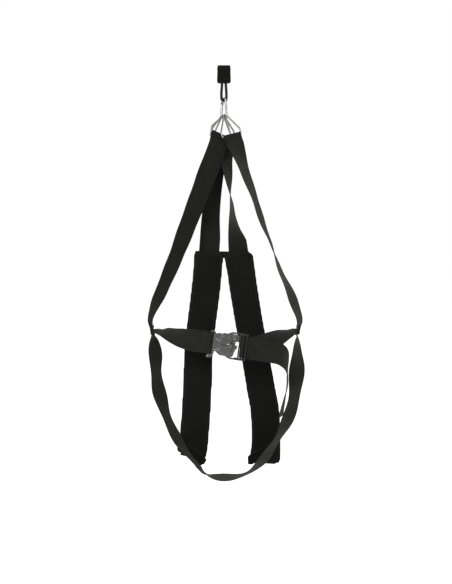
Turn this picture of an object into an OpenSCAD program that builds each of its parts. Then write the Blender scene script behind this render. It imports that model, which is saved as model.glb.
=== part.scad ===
// Suspension harness: webbing risers, two padded back straps, a seat strap and a
// buckled belt, hung on four triangle rings from a spring hook and a cord loop.
// Millimetres. +Z up, +X to the right of the belt buckle, the buckle faces -Y.
// Origin: centre of the mouth of the rope socket, on top of the anchor block.

/* [Webbing] */
// Width of the webbing
web_w = 50; // [49.5:0.1:50.5]
// Thickness of the webbing
web_t = 2; // [1.8:0.1:2]

/* [Pads] */
// Width of a padded strap
pad_w = 75; // [70:1:78]
// Thickness of a padded strap
pad_t = 11; // [9:0.5:11]
// Thickness of the pad's cover
cover_t = 1.2; // [0.8:0.1:1.5]

/* [Metalwork] */
// Wire diameter of a triangle ring
ring_wire = 3.8; // [3.5:0.1:3.9]
// Distance from a ring's apex arc to its bar
ring_h = 46; // [44:1:48]
// Distance between the sides of a ring, between wire centres
ring_w = 56; // [55.8:0.1:57]
// Wire diameter of the spring hook
hook_wire = 5; // [4.5:0.1:5]
// Height of the spring hook between wire centres
hook_h = 45; // [44:0.5:46]

/* [Cord and anchor] */
// Diameter of the cord
cord_d = 6; // [5.5:0.1:6]
// Width of the anchor sleeve
sleeve_w = 33; // [32:0.5:35]
// Height of the anchor sleeve
sleeve_h = 40; // [38:0.5:41]
// Diameter of the rope socket
socket_d = 8.5; // [8:0.5:9]

/* [Buckle] */
// Width of the buckle
buckle_w = 63; // [62.5:0.5:64]
// Thickness of the buckle
buckle_t = 13; // [12:0.5:14]

/* [Hidden] */
$fn = 48;

web_black = "#1e1e1c";
pad_black = "#151516";
steel = "#c9cbcc";
moulded_black = "#202022";
foam_grey = "#4a4a4c";

fit = 0.15;          // slack of webbing round a bar
seam = 0.1;          // gap between two sewn layers
turn = 34;           // how far hook and rings are turned about the hanging line
bend_steps = 6;      // rings per stretch of a swept strap

// Depths of the hanging parts below the origin
hook_top_z = -77.5;
hook_bottom_z = hook_top_z - hook_h;

// Routes of the straps: x, y, z of the middle of the webbing, and its roll about its own
// run, where 0 lies flat to the front. A route runs through its points on a smooth curve.
front_left_route = [
    [-15, -18, -194, -34], [-28, -20, -230, -26], [-42, -22, -267, -27], [-56, -23, -305, -34],
    [-85, -26, -382, -41], [-114, -28, -458, -51], [-145, -29, -534, -59], [-163, -30, -572, -68],
    [-174, -30, -605, -80], [-171.5, -30, -627, -88], [-170.2, -30, -642, -90]
];
front_right_route = [
    [29, -4, -194, -38], [41, -8, -228, -55], [55, -12, -266, -62], [69, -16, -305, -69],
    [93, -22, -381, -80], [109, -25, -420, -90], [122, -27, -458, -96], [136, -28, -496, -100],
    [153, -29, -534, -105], [167, -30, -572, -110], [179, -30, -605, -102],
    [177.5, -30, -627, -93], [176.2, -30, -642, -90]
];
rear_left_route = [
    [-13, 15, -195, -34], [-17, 22, -225, -36], [-26, 31, -295, -36], [-32, 40, -357, -29],
    [-34, 46.5, -412, -8]
];
rear_right_route = [
    [4, 11, -195, -36], [6, 15, -224, -54], [11, 20, -262, -67], [15, 26, -300, -86],
    [19, 31, -329, -98], [21, 36, -358, -107], [26, 43, -392, -126], [33, 47, -420, -154]
];
left_pad_route = [
    [-36, 42, -441, 0], [-44, 48, -533, 0], [-54, 51, -612, 0], [-62, 52, -690, 0],
    [-65, 50, -769, 0], [-69, 40, -846, 0], [-74, 26, -908, -3], [-81, 17, -943, -7]
];
right_pad_route = [
    [33, 42, -441, 18], [39, 44, -474, 18], [48, 48, -533, 18], [61, 51, -612, 18],
    [75, 52, -690, 18], [89, 50, -769, 15], [100, 41, -836, 8], [102, 28, -903, 3],
    [99, 17, -958, 0]
];
left_pad_skew = 15;   // slant of the left pad's lower end
seat_route = [
    [-168, -30, -621, -90], [-168, -30, -642, -88], [-165, -30, -661, -69], [-161, -30, -695, -60],
    [-160, -30, -732, -60], [-156, -30, -770, -60], [-146, -29, -805, -65], [-133, -26, -843, -68],
    [-114, -23, -882, -75], [-88, -21, -923, -78], [-58, -19, -960, -87], [-44, -17, -975, -99],
    [-27, -15, -984, -110], [-6, -13, -989, -102], [20, -13, -988, -100], [47, -14, -980, -103],
    [70, -16, -965, -112], [94, -19, -939, -118], [118, -21, -906, -119], [137, -24, -875, -121],
    [154, -26, -838, -125], [165, -28, -800, -131], [170, -29, -762, -133], [173, -30, -719, -137],
    [174, -30, -681, -124], [174, -30, -660, -108], [174, -30, -642, -92], [174, -30, -621, -90]
];
left_belt_route = [
    [-165.9, -30, -648, -90], [-165.9, -30, -639, -90], [-164.5, -30, -635.3, -90],
    [-161, -30, -634.2, -89], [-152, -35, -635, -79], [-137, -44, -637, -64], [-114, -60, -643, -42],
    [-90, -76, -650, -21], [-68, -90, -654, -7], [-56, -94.6, -655.5, -1]
];
right_belt_route = [
    [58.5, -89.4, -671, 0], [66, -89.4, -672, 0], [80, -87, -669.5, -3], [95, -81, -664, -13], [112, -71.5, -656.5, -28],
    [130, -60, -647, -52], [144, -49, -640, -64], [158, -36, -636, -78], [167.5, -30, -634.2, -89],
    [170.7, -30, -635.3, -90], [171.9, -30, -639, -90], [171.9, -30, -648, -90]
];
tail_route = [
    [58.5, -91.8, -671, 0], [66, -92.6, -672, 0], [84, -95, -676, 0], [109, -95, -680, -2],
    [126, -93, -684, -14], [138, -88, -694, -42], [146, -81, -711, -72], [148, -75, -731, -87],
    [147, -71, -760, -88], [141, -69, -788, -82], [136, -67, -812, -78], [133, -66, -832, -76]
];

// ---- swept straps ---------------------------------------------------------

function spline(p, i, t) =
    let (n = len(p), b = p[i], c = p[i + 1],
         a = i == 0 ? 2 * b - c : p[i - 1],
         d = i + 2 >= n ? 2 * c - b : p[i + 2])
    0.5 * (2 * b + (c - a) * t + (2 * a - 5 * b + 4 * c - d) * t * t
           + (3 * b - a - 3 * c + d) * t * t * t);

function smooth(p, steps) = [
    for (i = [0 : len(p) - 2], k = [0 : steps - 1]) spline(p, i, k / steps),
    p[len(p) - 1]
];

function head3(q) = [q[0], q[1], q[2]];
function unit(v) = v / norm(v);

// Run, width and thickness directions at ring i of a smoothed route.
function run_at(q, i) =
    let (n = len(q)) unit(head3(q[min(i + 1, n - 1)] - q[max(i - 1, 0)]));
function flat_at(t) = unit([-t[2], 0, t[0]]);
function width_at(q, i) =
    let (t = run_at(q, i), u = flat_at(t), v = cross(t, u))
    cos(q[i][3]) * u + sin(q[i][3]) * v;

// Cross-sections as [across, through] pairs.
function webbing_section(w, t) =
    let (a = w / 2, b = t / 2, e = 0.3 * t)
    [[-a, -b + e], [-a + e, -b], [a - e, -b], [a, -b + e], [a, b - e], [a - e, b], [-a + e, b], [-a, b - e]];
function pad_section(w, t) =
    let (a = w / 2, b = t / 2)
    [for (k = [0 : 15]) let (g = 360 * (k + 0.5) / 16, c = cos(g), s = sin(g))
        [a * sign(c) * pow(abs(c), 0.35), b * sign(s) * pow(abs(s), 0.6)]];

// A solid swept along a route; skew slants its far end.
module swept(route, section, steps = bend_steps, skew = 0) {
    q = smooth(route, steps);
    n = len(q);
    m = len(section);
    points = [
        for (i = [0 : n - 1])
            let (t = run_at(q, i), w = width_at(q, i), d = cross(w, t), slant = tan(skew) * pow(i / (n - 1), 12))
            for (s = section) head3(q[i]) + s[0] * w + s[1] * d + slant * s[0] * t
    ];
    sides = [
        for (i = [0 : n - 2], k = [0 : m - 1])
            let (a = i * m + k, b = i * m + (k + 1) % m)
            each [[a, b, a + m], [b, b + m, a + m]]
    ];
    near_end = [[for (k = [m - 1 : -1 : 0]) k]];
    far_end = [[for (k = [0 : m - 1]) (n - 1) * m + k]];
    polyhedron(points, concat(sides, near_end, far_end), convexity = 8);
}

// ---- bent wire --------------------------------------------------------------

// Round wire in the XZ plane through corners [x, z, radius]; open or closed.
wire_lap = 0.2;      // how far a straight stretch runs into a bend
module bent_wire(corners, d, closed = false) {
    n = len(corners);
    function at(i) = [corners[(i + n) % n][0], corners[(i + n) % n][1]];
    function reach(i) =
        (!closed && (i == 0 || i == n - 1)) ? 0
        : let (a = unit(at(i) - at(i - 1)), b = unit(at(i + 1) - at(i)))
          corners[i % n][2] * tan(acos(a * b) / 2);
    for (i = [0 : closed ? n - 1 : n - 2]) {
        a = at(i);
        b = at(i + 1);
        go = unit(b - a);
        near = (!closed && i == 0) ? 0 : wire_lap;
        far = (!closed && i == n - 2) ? 0 : wire_lap;
        from = a + go * (reach(i) - near);
        length = norm(b - a) - reach(i) - reach((i + 1) % n) + near + far;
        translate([from[0], 0, from[1]])
            rotate([0, atan2(go[0], go[1]), 0])
            cylinder(h = length, d = d);
    }
    for (i = [closed ? 0 : 1 : closed ? n - 1 : n - 2]) {
        r = corners[i][2];
        a = unit(at(i) - at(i - 1));
        b = unit(at(i + 1) - at(i));
        swing = acos(a * b);
        side = sign(a[0] * b[1] - a[1] * b[0]);
        start = at(i) - a * reach(i);
        centre = start + side * r * [-a[1], a[0]];
        heading = atan2(start[1] - centre[1], start[0] - centre[0]);
        translate([centre[0], 0, centre[1]])
            rotate([90, 0, 0])
            rotate([0, 0, side > 0 ? heading : heading - swing])
            rotate_extrude(angle = swing) translate([r, 0]) circle(d = d + 0.04, $fn = 36);
    }
}

// Puts a piece drawn in the XZ plane into the turned plane of the rings.
module turned() { rotate([0, 0, turn]) children(); }
module hook_place() { rotate([0, 0, turn + 90]) children(); }

// ---- anchor and cord --------------------------------------------------------

cord_exit = 5.5;
cord_reach = 7.2;
anchor_w = sleeve_w - 6;
anchor_d = 17;
sleeve_d = anchor_d + 5;
socket_depth = 20;
cord_depth = 14;

module rounded_block(w, d, h, r) {
    linear_extrude(h) offset(r) square([w - 2 * r, d - 2 * r], center = true);
}

module anchor_block() {
    color(moulded_black) difference() {
        translate([0, 0, -sleeve_h + 2]) rounded_block(anchor_w, anchor_d, sleeve_h - 2, 4, $fn = 24);
        translate([0, 0, -socket_depth]) cylinder(h = socket_depth + 1, d = socket_d);
        turned() for (side = [-1, 1])
            translate([side * cord_exit, 0, -sleeve_h]) cylinder(h = cord_depth + 2, d = cord_d + 0.1);
    }
}

module anchor_sleeve() {
    color(web_black) difference() {
        translate([0, 0, -sleeve_h]) rounded_block(sleeve_w, sleeve_d, sleeve_h, 6, $fn = 24);
        translate([0, 0, -sleeve_h + 2]) rounded_block(anchor_w + 0.1, anchor_d + 0.1, sleeve_h, 4, $fn = 24);
        turned() for (side = [-1, 1])
            translate([side * cord_exit, 0, -sleeve_h - 1]) cylinder(h = 4, d = cord_d + 0.4);
    }
}

module cord_loop() {
    low = hook_top_z - (hook_wire + cord_d) / 2 - 0.3;
    top = -sleeve_h + cord_depth - 0.5;
    color("#141414") turned() bent_wire([
        [-cord_exit, top], [-cord_exit, -sleeve_h - 4, 30], [-cord_reach, -64, 30],
        [-cord_reach, low, 7], [cord_reach, low, 7],
        [cord_reach, -64, 30], [cord_exit, -sleeve_h - 4, 30], [cord_exit, top]
    ], cord_d);
}

// ---- spring hook -------------------------------------------------------------

hook_foot = 12;      // half the width at the wide end, between wire centres
hook_head = 6;       // the same at the narrow end
rivet_d = 2.3;
gate_d = 5.6;
gate_lean = atan2(hook_foot - hook_head, hook_h);
// The gate's side runs from the rivet down to the nose.
rivet_drop = 11;
gate_l = 24;
nose_drop = 35.2;    // from the top wire to the end of the nose

// Frame on the gate's side: origin at the rivet, +Z up along the wire.
module gate_side() {
    t = rivet_drop / hook_h;
    translate([hook_head + t * (hook_foot - hook_head), 0, hook_top_z - rivet_drop])
        rotate([0, -gate_lean, 0]) children();
}

module hook_body() {
    t = 7.5 / hook_h;
    s = nose_drop / hook_h;
    color(steel) hook_place() {
        difference() {
            union() {
                bent_wire([
                    [hook_head + t * (hook_foot - hook_head), hook_top_z - 7.5],
                    [hook_head, hook_top_z, 5.2], [-hook_head, hook_top_z, 5.2],
                    [-hook_foot, hook_bottom_z, 5], [hook_foot, hook_bottom_z, 5],
                    [hook_head + s * (hook_foot - hook_head), hook_top_z - nose_drop]
                ], hook_wire);
                gate_side() tang();
                gate_side() nose();
            }
            gate_side() rotate([90, 0, 0]) cylinder(h = 10, d = rivet_d, center = true);
        }
    }
}

// Flat tongue that the gate turns on.
module tang() {
    rotate([90, 0, 0]) cylinder(h = 2, d = 4.6, center = true);
    translate([-2.3, -1, 0]) cube([4.6, 2, 4]);
}

// Flat tongue that the gate closes over.
module nose() {
    translate([-1.9, -0.8, -24.9]) cube([3.8, 1.6, 2.1]);
}

module gate_rivet() {
    color(steel) hook_place() gate_side() rotate([90, 0, 0]) {
        cylinder(h = gate_d + 0.4, d = rivet_d - 0.1, center = true);
        for (side = [-1, 1]) translate([0, 0, side * (gate_d / 2 + 0.45)])
            cylinder(h = 0.7, d = 3.6, center = true);
    }
}

module hook_gate() {
    color(steel) hook_place() gate_side() difference() {
        union() {
            translate([0, 0, -gate_l]) cylinder(h = gate_l, d = gate_d);
            rotate([90, 0, 0]) cylinder(h = gate_d - 1, d = gate_d - 0.2, center = true);
        }
        // slot for the tang, and room for it to turn in
        translate([-4, -1.2, -2.9]) cube([8, 2.4, 9]);
        // slot for the nose, open to the outside, so that the gate can only turn inwards
        translate([-2.2, -1, -gate_l - 1]) cube([6, 2, 3]);
        rotate([90, 0, 0]) cylinder(h = 10, d = rivet_d, center = true);
        translate([0, 0, -16]) cylinder(h = 13.5, d = 3);
    }
}

module gate_plunger() {
    color(steel) hook_place() gate_side() translate([0, 0, -6.4]) {
        cylinder(h = 3.2, d = 2);
        cylinder(h = 1, d = 2.8);
    }
}

module gate_spring() {
    turns = 5;
    steps = 12;
    low = -15.8;
    rise = 9.2;
    r = 1.1;
    wire = 0.4;
    route = [for (k = [0 : turns * steps])
        [r * cos(360 * k / steps), r * sin(360 * k / steps), low + wire / 2 + rise * k / (turns * steps)]];
    n = len(route);
    points = [for (i = [0 : n - 1])
        let (c = route[i], out = unit([c[0], c[1], 0]))
        for (g = [0 : 60 : 300]) c + wire / 2 * (cos(g) * out + [0, 0, sin(g)])];
    faces = concat(
        [for (i = [0 : n - 2], k = [0 : 5]) let (a = i * 6 + k, b = i * 6 + (k + 1) % 6)
            each [[a, b, a + 6], [b, b + 6, a + 6]]],
        [[5, 4, 3, 2, 1, 0]], [[for (k = [0 : 5]) (n - 1) * 6 + k]]);
    color(steel) hook_place() gate_side() polyhedron(points, faces);
}

// ---- triangle rings -----------------------------------------------------------

ring_apex_r = 5;
ring_pitch = 4.65;
// Each ring: place along the hook's wide end, lean across it, lean along it.
front_right_hang = [-1.5, -9.5, 17];
front_left_hang = [-0.5, -3.2, -17];
rear_right_hang = [0.5, 3.2, 7];
rear_left_hang = [1.5, 9.5, -2];

module ring_place(hang) {
    translate([0, 0, hook_bottom_z]) turned()
        translate([0, hang[0] * ring_pitch, 0])
        rotate([0, -hang[2], 0]) rotate([hang[1], 0, 0])
        translate([0, 0, -0.25]) children();
}

module triangle_ring(hang) {
    half = ring_w / 2;
    shoulder = -ring_h + 12;
    peak = 9.3;
    color(steel) ring_place(hang) bent_wire([
        [0, peak, ring_apex_r], [half, shoulder, 6], [half, -ring_h, 2.6],
        [-half, -ring_h, 2.6], [-half, shoulder, 6]
    ], ring_wire, closed = true);
}

// ---- sewn webbing loops --------------------------------------------------------

// Outline of webbing that turns over a bar of radius r and is sewn together below it.
module loop_outline(r, length) {
    mid = r + fit + web_t / 2;
    sewn = (web_t + seam) / 2;
    side = [for (g = [0 : 15 : 90]) [mid * cos(g), mid * sin(g)]];
    leg = [[mid, -2], [(mid + sewn) / 2, -9], [sewn, -16], [sewn, -length]];
    half = concat([for (k = [len(side) - 1 : -1 : 0]) side[k]], leg);
    n = len(half);
    function normal(i) = let (g = unit(half[min(i + 1, n - 1)] - half[max(i - 1, 0)])) [-g[1], g[0]];
    inner = [for (i = [0 : n - 1]) half[i] - normal(i) * web_t / 2];
    outer = [for (i = [n - 1 : -1 : 0]) half[i] + normal(i) * web_t / 2];
    for (flip = [0, 1]) mirror([flip, 0]) polygon(concat(inner, outer));
}

module bar_loop(r, length) {
    rotate([90, 0, 90]) linear_extrude(web_w, center = true) loop_outline(r, length);
}

// Loop of a strap over a ring's bar.
module ring_loop(hang) {
    ring_place(hang) translate([0, 0, -ring_h]) bar_loop(ring_wire / 2, 30);
}

module hanging_strap(route, hang) {
    color(web_black) {
        ring_loop(hang);
        swept(route, webbing_section(web_w, web_t));
    }
}

module front_left_riser() { hanging_strap(front_left_route, front_left_hang); }
module front_right_riser() { hanging_strap(front_right_route, front_right_hang); }

// The rear straps run on down the back of their pads.
pad_back = (pad_t + web_t) / 2 + 0.3;
function behind(route, roll) = [
    for (p = route) [p[0] + pad_back * sin(p[3]), p[1] + pad_back * cos(p[3]), p[2], p[3] + roll]
];
module rear_left_strap() { hanging_strap(concat(rear_left_route, behind(left_pad_route, 0)), rear_left_hang); }
module rear_right_strap() { hanging_strap(concat(rear_right_route, behind(right_pad_route, -180)), rear_right_hang); }

// ---- pads -----------------------------------------------------------------------

module pad_cover(route, skew) {
    inner_w = pad_w - 2 * cover_t;
    inner_t = pad_t - 2 * cover_t;
    color(pad_black) difference() {
        swept(route, pad_section(pad_w, pad_t), 5, skew);
        pad_core(route, skew, inner_w, inner_t);
    }
}

// The core stops short of the cover's ends.
module pad_core(route, skew, w, t) {
    n = len(route) - 1;
    near = spline(route, 0, 0.08);
    far = spline(route, n - 1, 0.8);
    core = [near, for (i = [1 : n - 1]) route[i], far];
    swept(core, pad_section(w, t), 5, skew);
}

module pad_foam(route, skew) {
    color(foam_grey) pad_core(route, skew, pad_w - 2 * cover_t - 0.8, pad_t - 2 * cover_t - 0.8);
}

module left_pad_cover() { pad_cover(left_pad_route, left_pad_skew); }
module right_pad_cover() { pad_cover(right_pad_route, 0); }
module left_pad_foam() { pad_foam(left_pad_route, left_pad_skew); }
module right_pad_foam() { pad_foam(right_pad_route, 0); }

// Hems: cover cloth folded forward at a pad's lower end, sewn to the seat strap.
hem_t = 6;
hem_y = 11.5;
module hem(outline) {
    color(pad_black) translate([0, hem_y, 0]) rotate([90, 0, 0])
        linear_extrude(hem_t) polygon(outline);
}
module left_pad_hem() {
    hem([[-103, -902], [-113, -919], [-111, -926], [-87, -937], [-60, -961], [-47, -956], [-41, -946], [-58, -925]]);
}
module right_pad_hem() {
    hem([[57, -939], [63, -933], [107, -907], [124, -912], [100, -940], [68, -957], [58, -957]]);
}

// Webbing tab that holds the tops of the pads together.
module pad_bridge() {
    color(web_black) swept([
        [-28, 52, -450, 0], [-12, 52.5, -450, 0], [-2, 56, -450, 0], [9, 60.3, -450, 0], [24, 56, -450, 0]
    ], webbing_section(16, web_t), 4);
}

// ---- seat strap and belt ----------------------------------------------------------

module seat_strap() { color(web_black) swept(seat_route, webbing_section(web_w, web_t), 5); }

module left_belt() {
    color(web_black) {
        swept(left_belt_route, webbing_section(web_w, web_t));
        buckle_place() translate([bar_a, 0, 0]) rotate([0, 90, 0]) bar_loop(2, 30);
    }
}
module right_belt() {
    color(web_black) swept(right_belt_route, webbing_section(web_w, web_t));
}
module belt_tail() { color(web_black) swept(tail_route, webbing_section(web_w, web_t)); }

// ---- side-release buckle -------------------------------------------------------------

// Drawn with the belt along X, the front at -Y, and tilted with the belt.
buckle_centre = [10, -95, -664];
buckle_tilt = 8;
bar_a = -40;         // the receptacle's strap bar
grip_a = 31.5;       // the frame's inner bar, which the belt turns round
end_a = 41;          // the frame's end bar
slot_w = web_w + 2.5;
mouth_a = 13;
cavity_h = 38;
cavity_t = 6.8;
window_a = -20.5;    // from here to the mouth the sides are open for the latch arms
arm_a = 20;          // root of a latch arm
arm_b = 28.9;

module buckle_place() { translate(buckle_centre) rotate([0, buckle_tilt, 0]) children(); }
module plate(t) { rotate([90, 0, 0]) linear_extrude(t, center = true) children(); }

// Half outline of the receptacle, mirrored about the belt's line.
module receptacle_outline() {
    h = buckle_w / 2;
    half = [
        [-43, 0], [-43, h - 1], [-41, h], [-33, h - 1.5], [-29, 25.5], [-25.5, 22.5], [-8, 22.5],
        [-4.5, 24], [0, 26], [9, 26.5], [mouth_a, 25], [mouth_a, 0]
    ];
    for (flip = [0, 1]) mirror([0, flip]) polygon(half);
}

module buckle_receptacle() {
    color("#6d6e70") buckle_place() translate([bar_a, 0, 0]) cylinder(h = slot_w + 2, d = 4, center = true);
    color("#6d6e70") buckle_place() difference() {
        plate(buckle_t) receptacle_outline();
        // room for the belt's loop round the bar
        translate([-38, 0, 0]) cube([13, buckle_t + 2, slot_w], center = true);
        // blind end of the cavity, where the tips of the arms go as they are squeezed
        translate([-23, -cavity_t / 2, -cavity_h / 2]) cube([3, cavity_t, cavity_h]);
        // open sides for the latch arms, on both sides of a rib that joins the faces
        for (side = [-1, 1]) translate([window_a, -cavity_t / 2, side > 0 ? 3 : -buckle_w])
            cube([mouth_a + 1 - window_a, cavity_t, buckle_w - 3]);
    }
}

module buckle_frame() {
    h = buckle_w / 2;
    rail = (buckle_w - slot_w) / 2;
    color(moulded_black) buckle_place() {
        difference() {
            union() {
                for (side = [-1, 1]) translate([(17 + end_a) / 2, 0, side * (h - rail / 2)])
                    cube([end_a - 17, 7, rail], center = true);
                translate([25.2, 0, 0]) cube([3, 6, buckle_w - 2], center = true);
            }
            // sockets for the roots of the latch arms
            for (side = [-1, 1]) translate([arm_a, 0, side * arm_b]) rotate([90, 0, 0])
                cylinder(h = 9, d = 6, center = true);
            for (side = [-1, 1]) translate([arm_a - 3, 0, side * (arm_b + 0.5)])
                cube([6, 9, 8], center = true);
        }
        // guide that runs into the receptacle
        translate([11, 0, 13]) cube([30, 5.4, 6], center = true);
        for (a = [grip_a, end_a]) translate([a, 0, 0]) cylinder(h = buckle_w - 1, d = 4, center = true);
    }
}

// Arm with its thumb pad, on a root that stands in for the moulded hinge.
module latch_arm(side) {
    outline = [
        [arm_a, 31], [14, 31.5], [6, 31], [1, 29], [-4, 26.3], [-8, 25.4], [-14, 25.4],
        [-18, 24.6], [-19.6, 22.8], [-19.6, 19.6], [-8, 20.3], [-3, 22.4], [2, 25.8], [8, 27.4],
        [14, 27.6], [arm_a, 26.8]
    ];
    color(moulded_black) buckle_place() mirror([0, 0, side > 0 ? 0 : 1]) {
        plate(6) polygon(outline);
        translate([arm_a, 0, arm_b]) rotate([90, 0, 0]) cylinder(h = 6, d = 5.6, center = true);
    }
}
module upper_latch_arm() { latch_arm(1); }
module lower_latch_arm() { latch_arm(-1); }

// Webbing threaded through the adjuster: behind both bars, round the inner bar, then out
// to the right again under the end bar.
module adjuster_webbing() {
    mid = 2 + fit + web_t / 2;
    run = [
        [46.5, 5.5], [38.5, 5.5], [36, 5.1], [33.5, 4.2],
        for (g = [70 : 20 : 350]) [grip_a + mid * cos(g), mid * sin(g)],
        [34.7, 1.3], [36.1, 2.6], [38.2, 3.2], [46.5, 3.3]
    ];
    n = len(run);
    function normal(i) = let (g = unit(run[min(i + 1, n - 1)] - run[max(i - 1, 0)])) [-g[1], g[0]];
    color(web_black) buckle_place() linear_extrude(web_w, center = true) polygon(concat(
        [for (i = [0 : n - 1]) run[i] + normal(i) * web_t / 2],
        [for (i = [n - 1 : -1 : 0]) run[i] - normal(i) * web_t / 2]
    ));
}

// ---- nodes -------------------------------------------------------------------------------

anchor_block();
anchor_sleeve();
cord_loop();
hook_body();
gate_rivet();
hook_gate();
gate_plunger();
gate_spring();
triangle_ring(front_left_hang);  // front_left_ring
triangle_ring(front_right_hang);  // front_right_ring
triangle_ring(rear_left_hang);  // rear_left_ring
triangle_ring(rear_right_hang);  // rear_right_ring
front_left_riser();
front_right_riser();
rear_left_strap();
rear_right_strap();
left_pad_cover();
right_pad_cover();
left_pad_foam();
right_pad_foam();
left_pad_hem();
right_pad_hem();
pad_bridge();
seat_strap();
left_belt();
right_belt();
belt_tail();
buckle_receptacle();
buckle_frame();
adjuster_webbing();
upper_latch_arm();
lower_latch_arm();
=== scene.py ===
"""Looks of a hanging suspension harness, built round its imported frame.

Lengths in the routes and size fields are millimetres, and MM turns them into metres.
"""
import logging
import math
from dataclasses import dataclass, field
from enum import Enum

import bmesh
import bpy
import numpy as np
from mathutils import Matrix, Vector
from mathutils.bvhtree import BVHTree


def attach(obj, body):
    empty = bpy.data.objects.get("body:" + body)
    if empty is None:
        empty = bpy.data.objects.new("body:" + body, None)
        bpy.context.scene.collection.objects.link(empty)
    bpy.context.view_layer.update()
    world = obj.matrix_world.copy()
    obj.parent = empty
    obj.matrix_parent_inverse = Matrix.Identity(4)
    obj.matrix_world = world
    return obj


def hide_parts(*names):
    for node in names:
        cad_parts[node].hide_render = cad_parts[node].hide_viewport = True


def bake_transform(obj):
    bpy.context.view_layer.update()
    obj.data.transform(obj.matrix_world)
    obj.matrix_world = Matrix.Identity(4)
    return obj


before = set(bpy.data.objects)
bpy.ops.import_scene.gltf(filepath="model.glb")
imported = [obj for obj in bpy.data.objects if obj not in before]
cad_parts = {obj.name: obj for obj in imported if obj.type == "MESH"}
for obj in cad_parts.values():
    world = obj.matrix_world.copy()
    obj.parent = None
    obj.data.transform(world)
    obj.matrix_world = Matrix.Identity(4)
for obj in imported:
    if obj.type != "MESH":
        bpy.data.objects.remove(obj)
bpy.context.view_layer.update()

MM = 0.001
log = logging.getLogger("harness")


class Body(str, Enum):
    """Moving bodies of the harness."""

    SUSPENSION = "suspension"
    HOOK = "hook"
    GATE = "gate"
    HARNESS = "harness"
    INSERT = "buckle_insert"
    UPPER_LATCH = "upper_latch"
    LOWER_LATCH = "lower_latch"


class Side(Enum):
    """Face of a strap: the one towards the wearer's front, or its back."""

    FRONT = -1.0
    BACK = 1.0


# ---- finishes ------------------------------------------------------------------


class NodeSketch:
    """A material's node tree, with short ways to add nodes to it."""

    def __init__(self, name: str) -> None:
        """Starts an empty tree that ends in a principled shader.

        Args:
            name: Name of the material.
        """
        self.material = bpy.data.materials.new(name)
        self.material.use_nodes = True
        self.tree = self.material.node_tree
        self.tree.nodes.clear()
        self.shader = self.tree.nodes.new("ShaderNodeBsdfPrincipled")
        output = self.tree.nodes.new("ShaderNodeOutputMaterial")
        self.tree.links.new(self.shader.outputs["BSDF"], output.inputs["Surface"])

    def plug(self, socket: bpy.types.NodeSocket, value: object) -> None:
        """Links a socket to another, or sets its constant.

        Args:
            socket: Input socket.
            value: Output socket, number or tuple.
        """
        if isinstance(value, bpy.types.NodeSocket):
            self.tree.links.new(value, socket)
        else:
            socket.default_value = value

    def set(self, **values: object) -> None:
        """Sets the shader's inputs.

        Args:
            values: Input name, with _ for a space, and its value.
        """
        for name, value in values.items():
            self.plug(self.shader.inputs[name.replace("_", " ")], value)

    def math(self, operation: str, *values: object) -> bpy.types.NodeSocket:
        """Adds a math node.

        Args:
            operation: Blender's name for the operation.
            values: Its inputs.

        Returns:
            The result's socket.
        """
        node = self.tree.nodes.new("ShaderNodeMath")
        node.operation = operation
        for socket, value in zip(node.inputs, values):
            self.plug(socket, value)
        return node.outputs[0]

    def wave(self, value: object, cycles: float, shift: object = 0.0) -> bpy.types.NodeSocket:
        """Sine of a coordinate.

        Args:
            value: Coordinate socket.
            cycles: Waves per unit of it.
            shift: Added to the angle, in radians.

        Returns:
            A socket from -1 to 1.
        """
        return self.math("SINE", self.math("MULTIPLY_ADD", value, 2 * math.pi * cycles, shift))

    def coordinates(self, uv: bool) -> tuple:
        """Surface coordinates, split into their parts.

        Args:
            uv: True for the piece's own woven coordinates, False for places in the object.

        Returns:
            Sockets of the three parts.
        """
        node = self.tree.nodes.new("ShaderNodeUVMap" if uv else "ShaderNodeTexCoord")
        split = self.tree.nodes.new("ShaderNodeSeparateXYZ")
        self.tree.links.new(node.outputs["UV" if uv else "Object"], split.inputs[0])
        return tuple(split.outputs)

    def noise(self, scale: float, detail: float = 3.0) -> bpy.types.NodeSocket:
        """Fractal noise over the object.

        Args:
            scale: Noise cells per metre.
            detail: Octaves.

        Returns:
            A socket from 0 to 1.
        """
        place = self.tree.nodes.new("ShaderNodeTexCoord")
        node = self.tree.nodes.new("ShaderNodeTexNoise")
        node.inputs["Scale"].default_value = scale
        node.inputs["Detail"].default_value = detail
        self.tree.links.new(place.outputs["Object"], node.inputs["Vector"])
        return node.outputs[0]

    def blend(self, share: object, low: tuple, high: tuple) -> bpy.types.NodeSocket:
        """Mixes two colours.

        Args:
            share: 0 for low and 1 for high.
            low: Colour.
            high: Colour.

        Returns:
            The mixed colour's socket.
        """
        node = self.tree.nodes.new("ShaderNodeMix")
        node.data_type = "RGBA"
        self.plug(node.inputs[0], share)
        self.plug(node.inputs[6], (*low, 1.0))
        self.plug(node.inputs[7], (*high, 1.0))
        return node.outputs[2]

    def tint(self, share: object, colour: tuple, low: float, high: float) -> bpy.types.NodeSocket:
        """Mixes a darker and a lighter tint of one colour.

        Args:
            share: 0 for the darker and 1 for the lighter.
            colour: The colour.
            low: Brightness of the darker tint.
            high: Brightness of the lighter one.

        Returns:
            The mixed colour's socket.
        """
        return self.blend(share, tuple(low * c for c in colour), tuple(high * c for c in colour))

    def vary(self, source: bpy.types.NodeSocket, middle: float, reach: float) -> bpy.types.NodeSocket:
        """Spreads a value over a reach, as a noise from 0 to 1 says."""
        return self.math("MULTIPLY_ADD", source, reach, middle - reach / 2)

    def bump(self, height: bpy.types.NodeSocket, distance: float, strength: float) -> None:
        """Bumps the shader's surface.

        Args:
            height: Socket from about -1 to 1.
            distance: Height of a unit, in metres.
            strength: Share of the effect.
        """
        node = self.tree.nodes.new("ShaderNodeBump")
        node.inputs["Distance"].default_value = distance
        node.inputs["Strength"].default_value = strength
        self.tree.links.new(height, node.inputs["Height"])
        self.tree.links.new(node.outputs[0], self.shader.inputs["Normal"])


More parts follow.
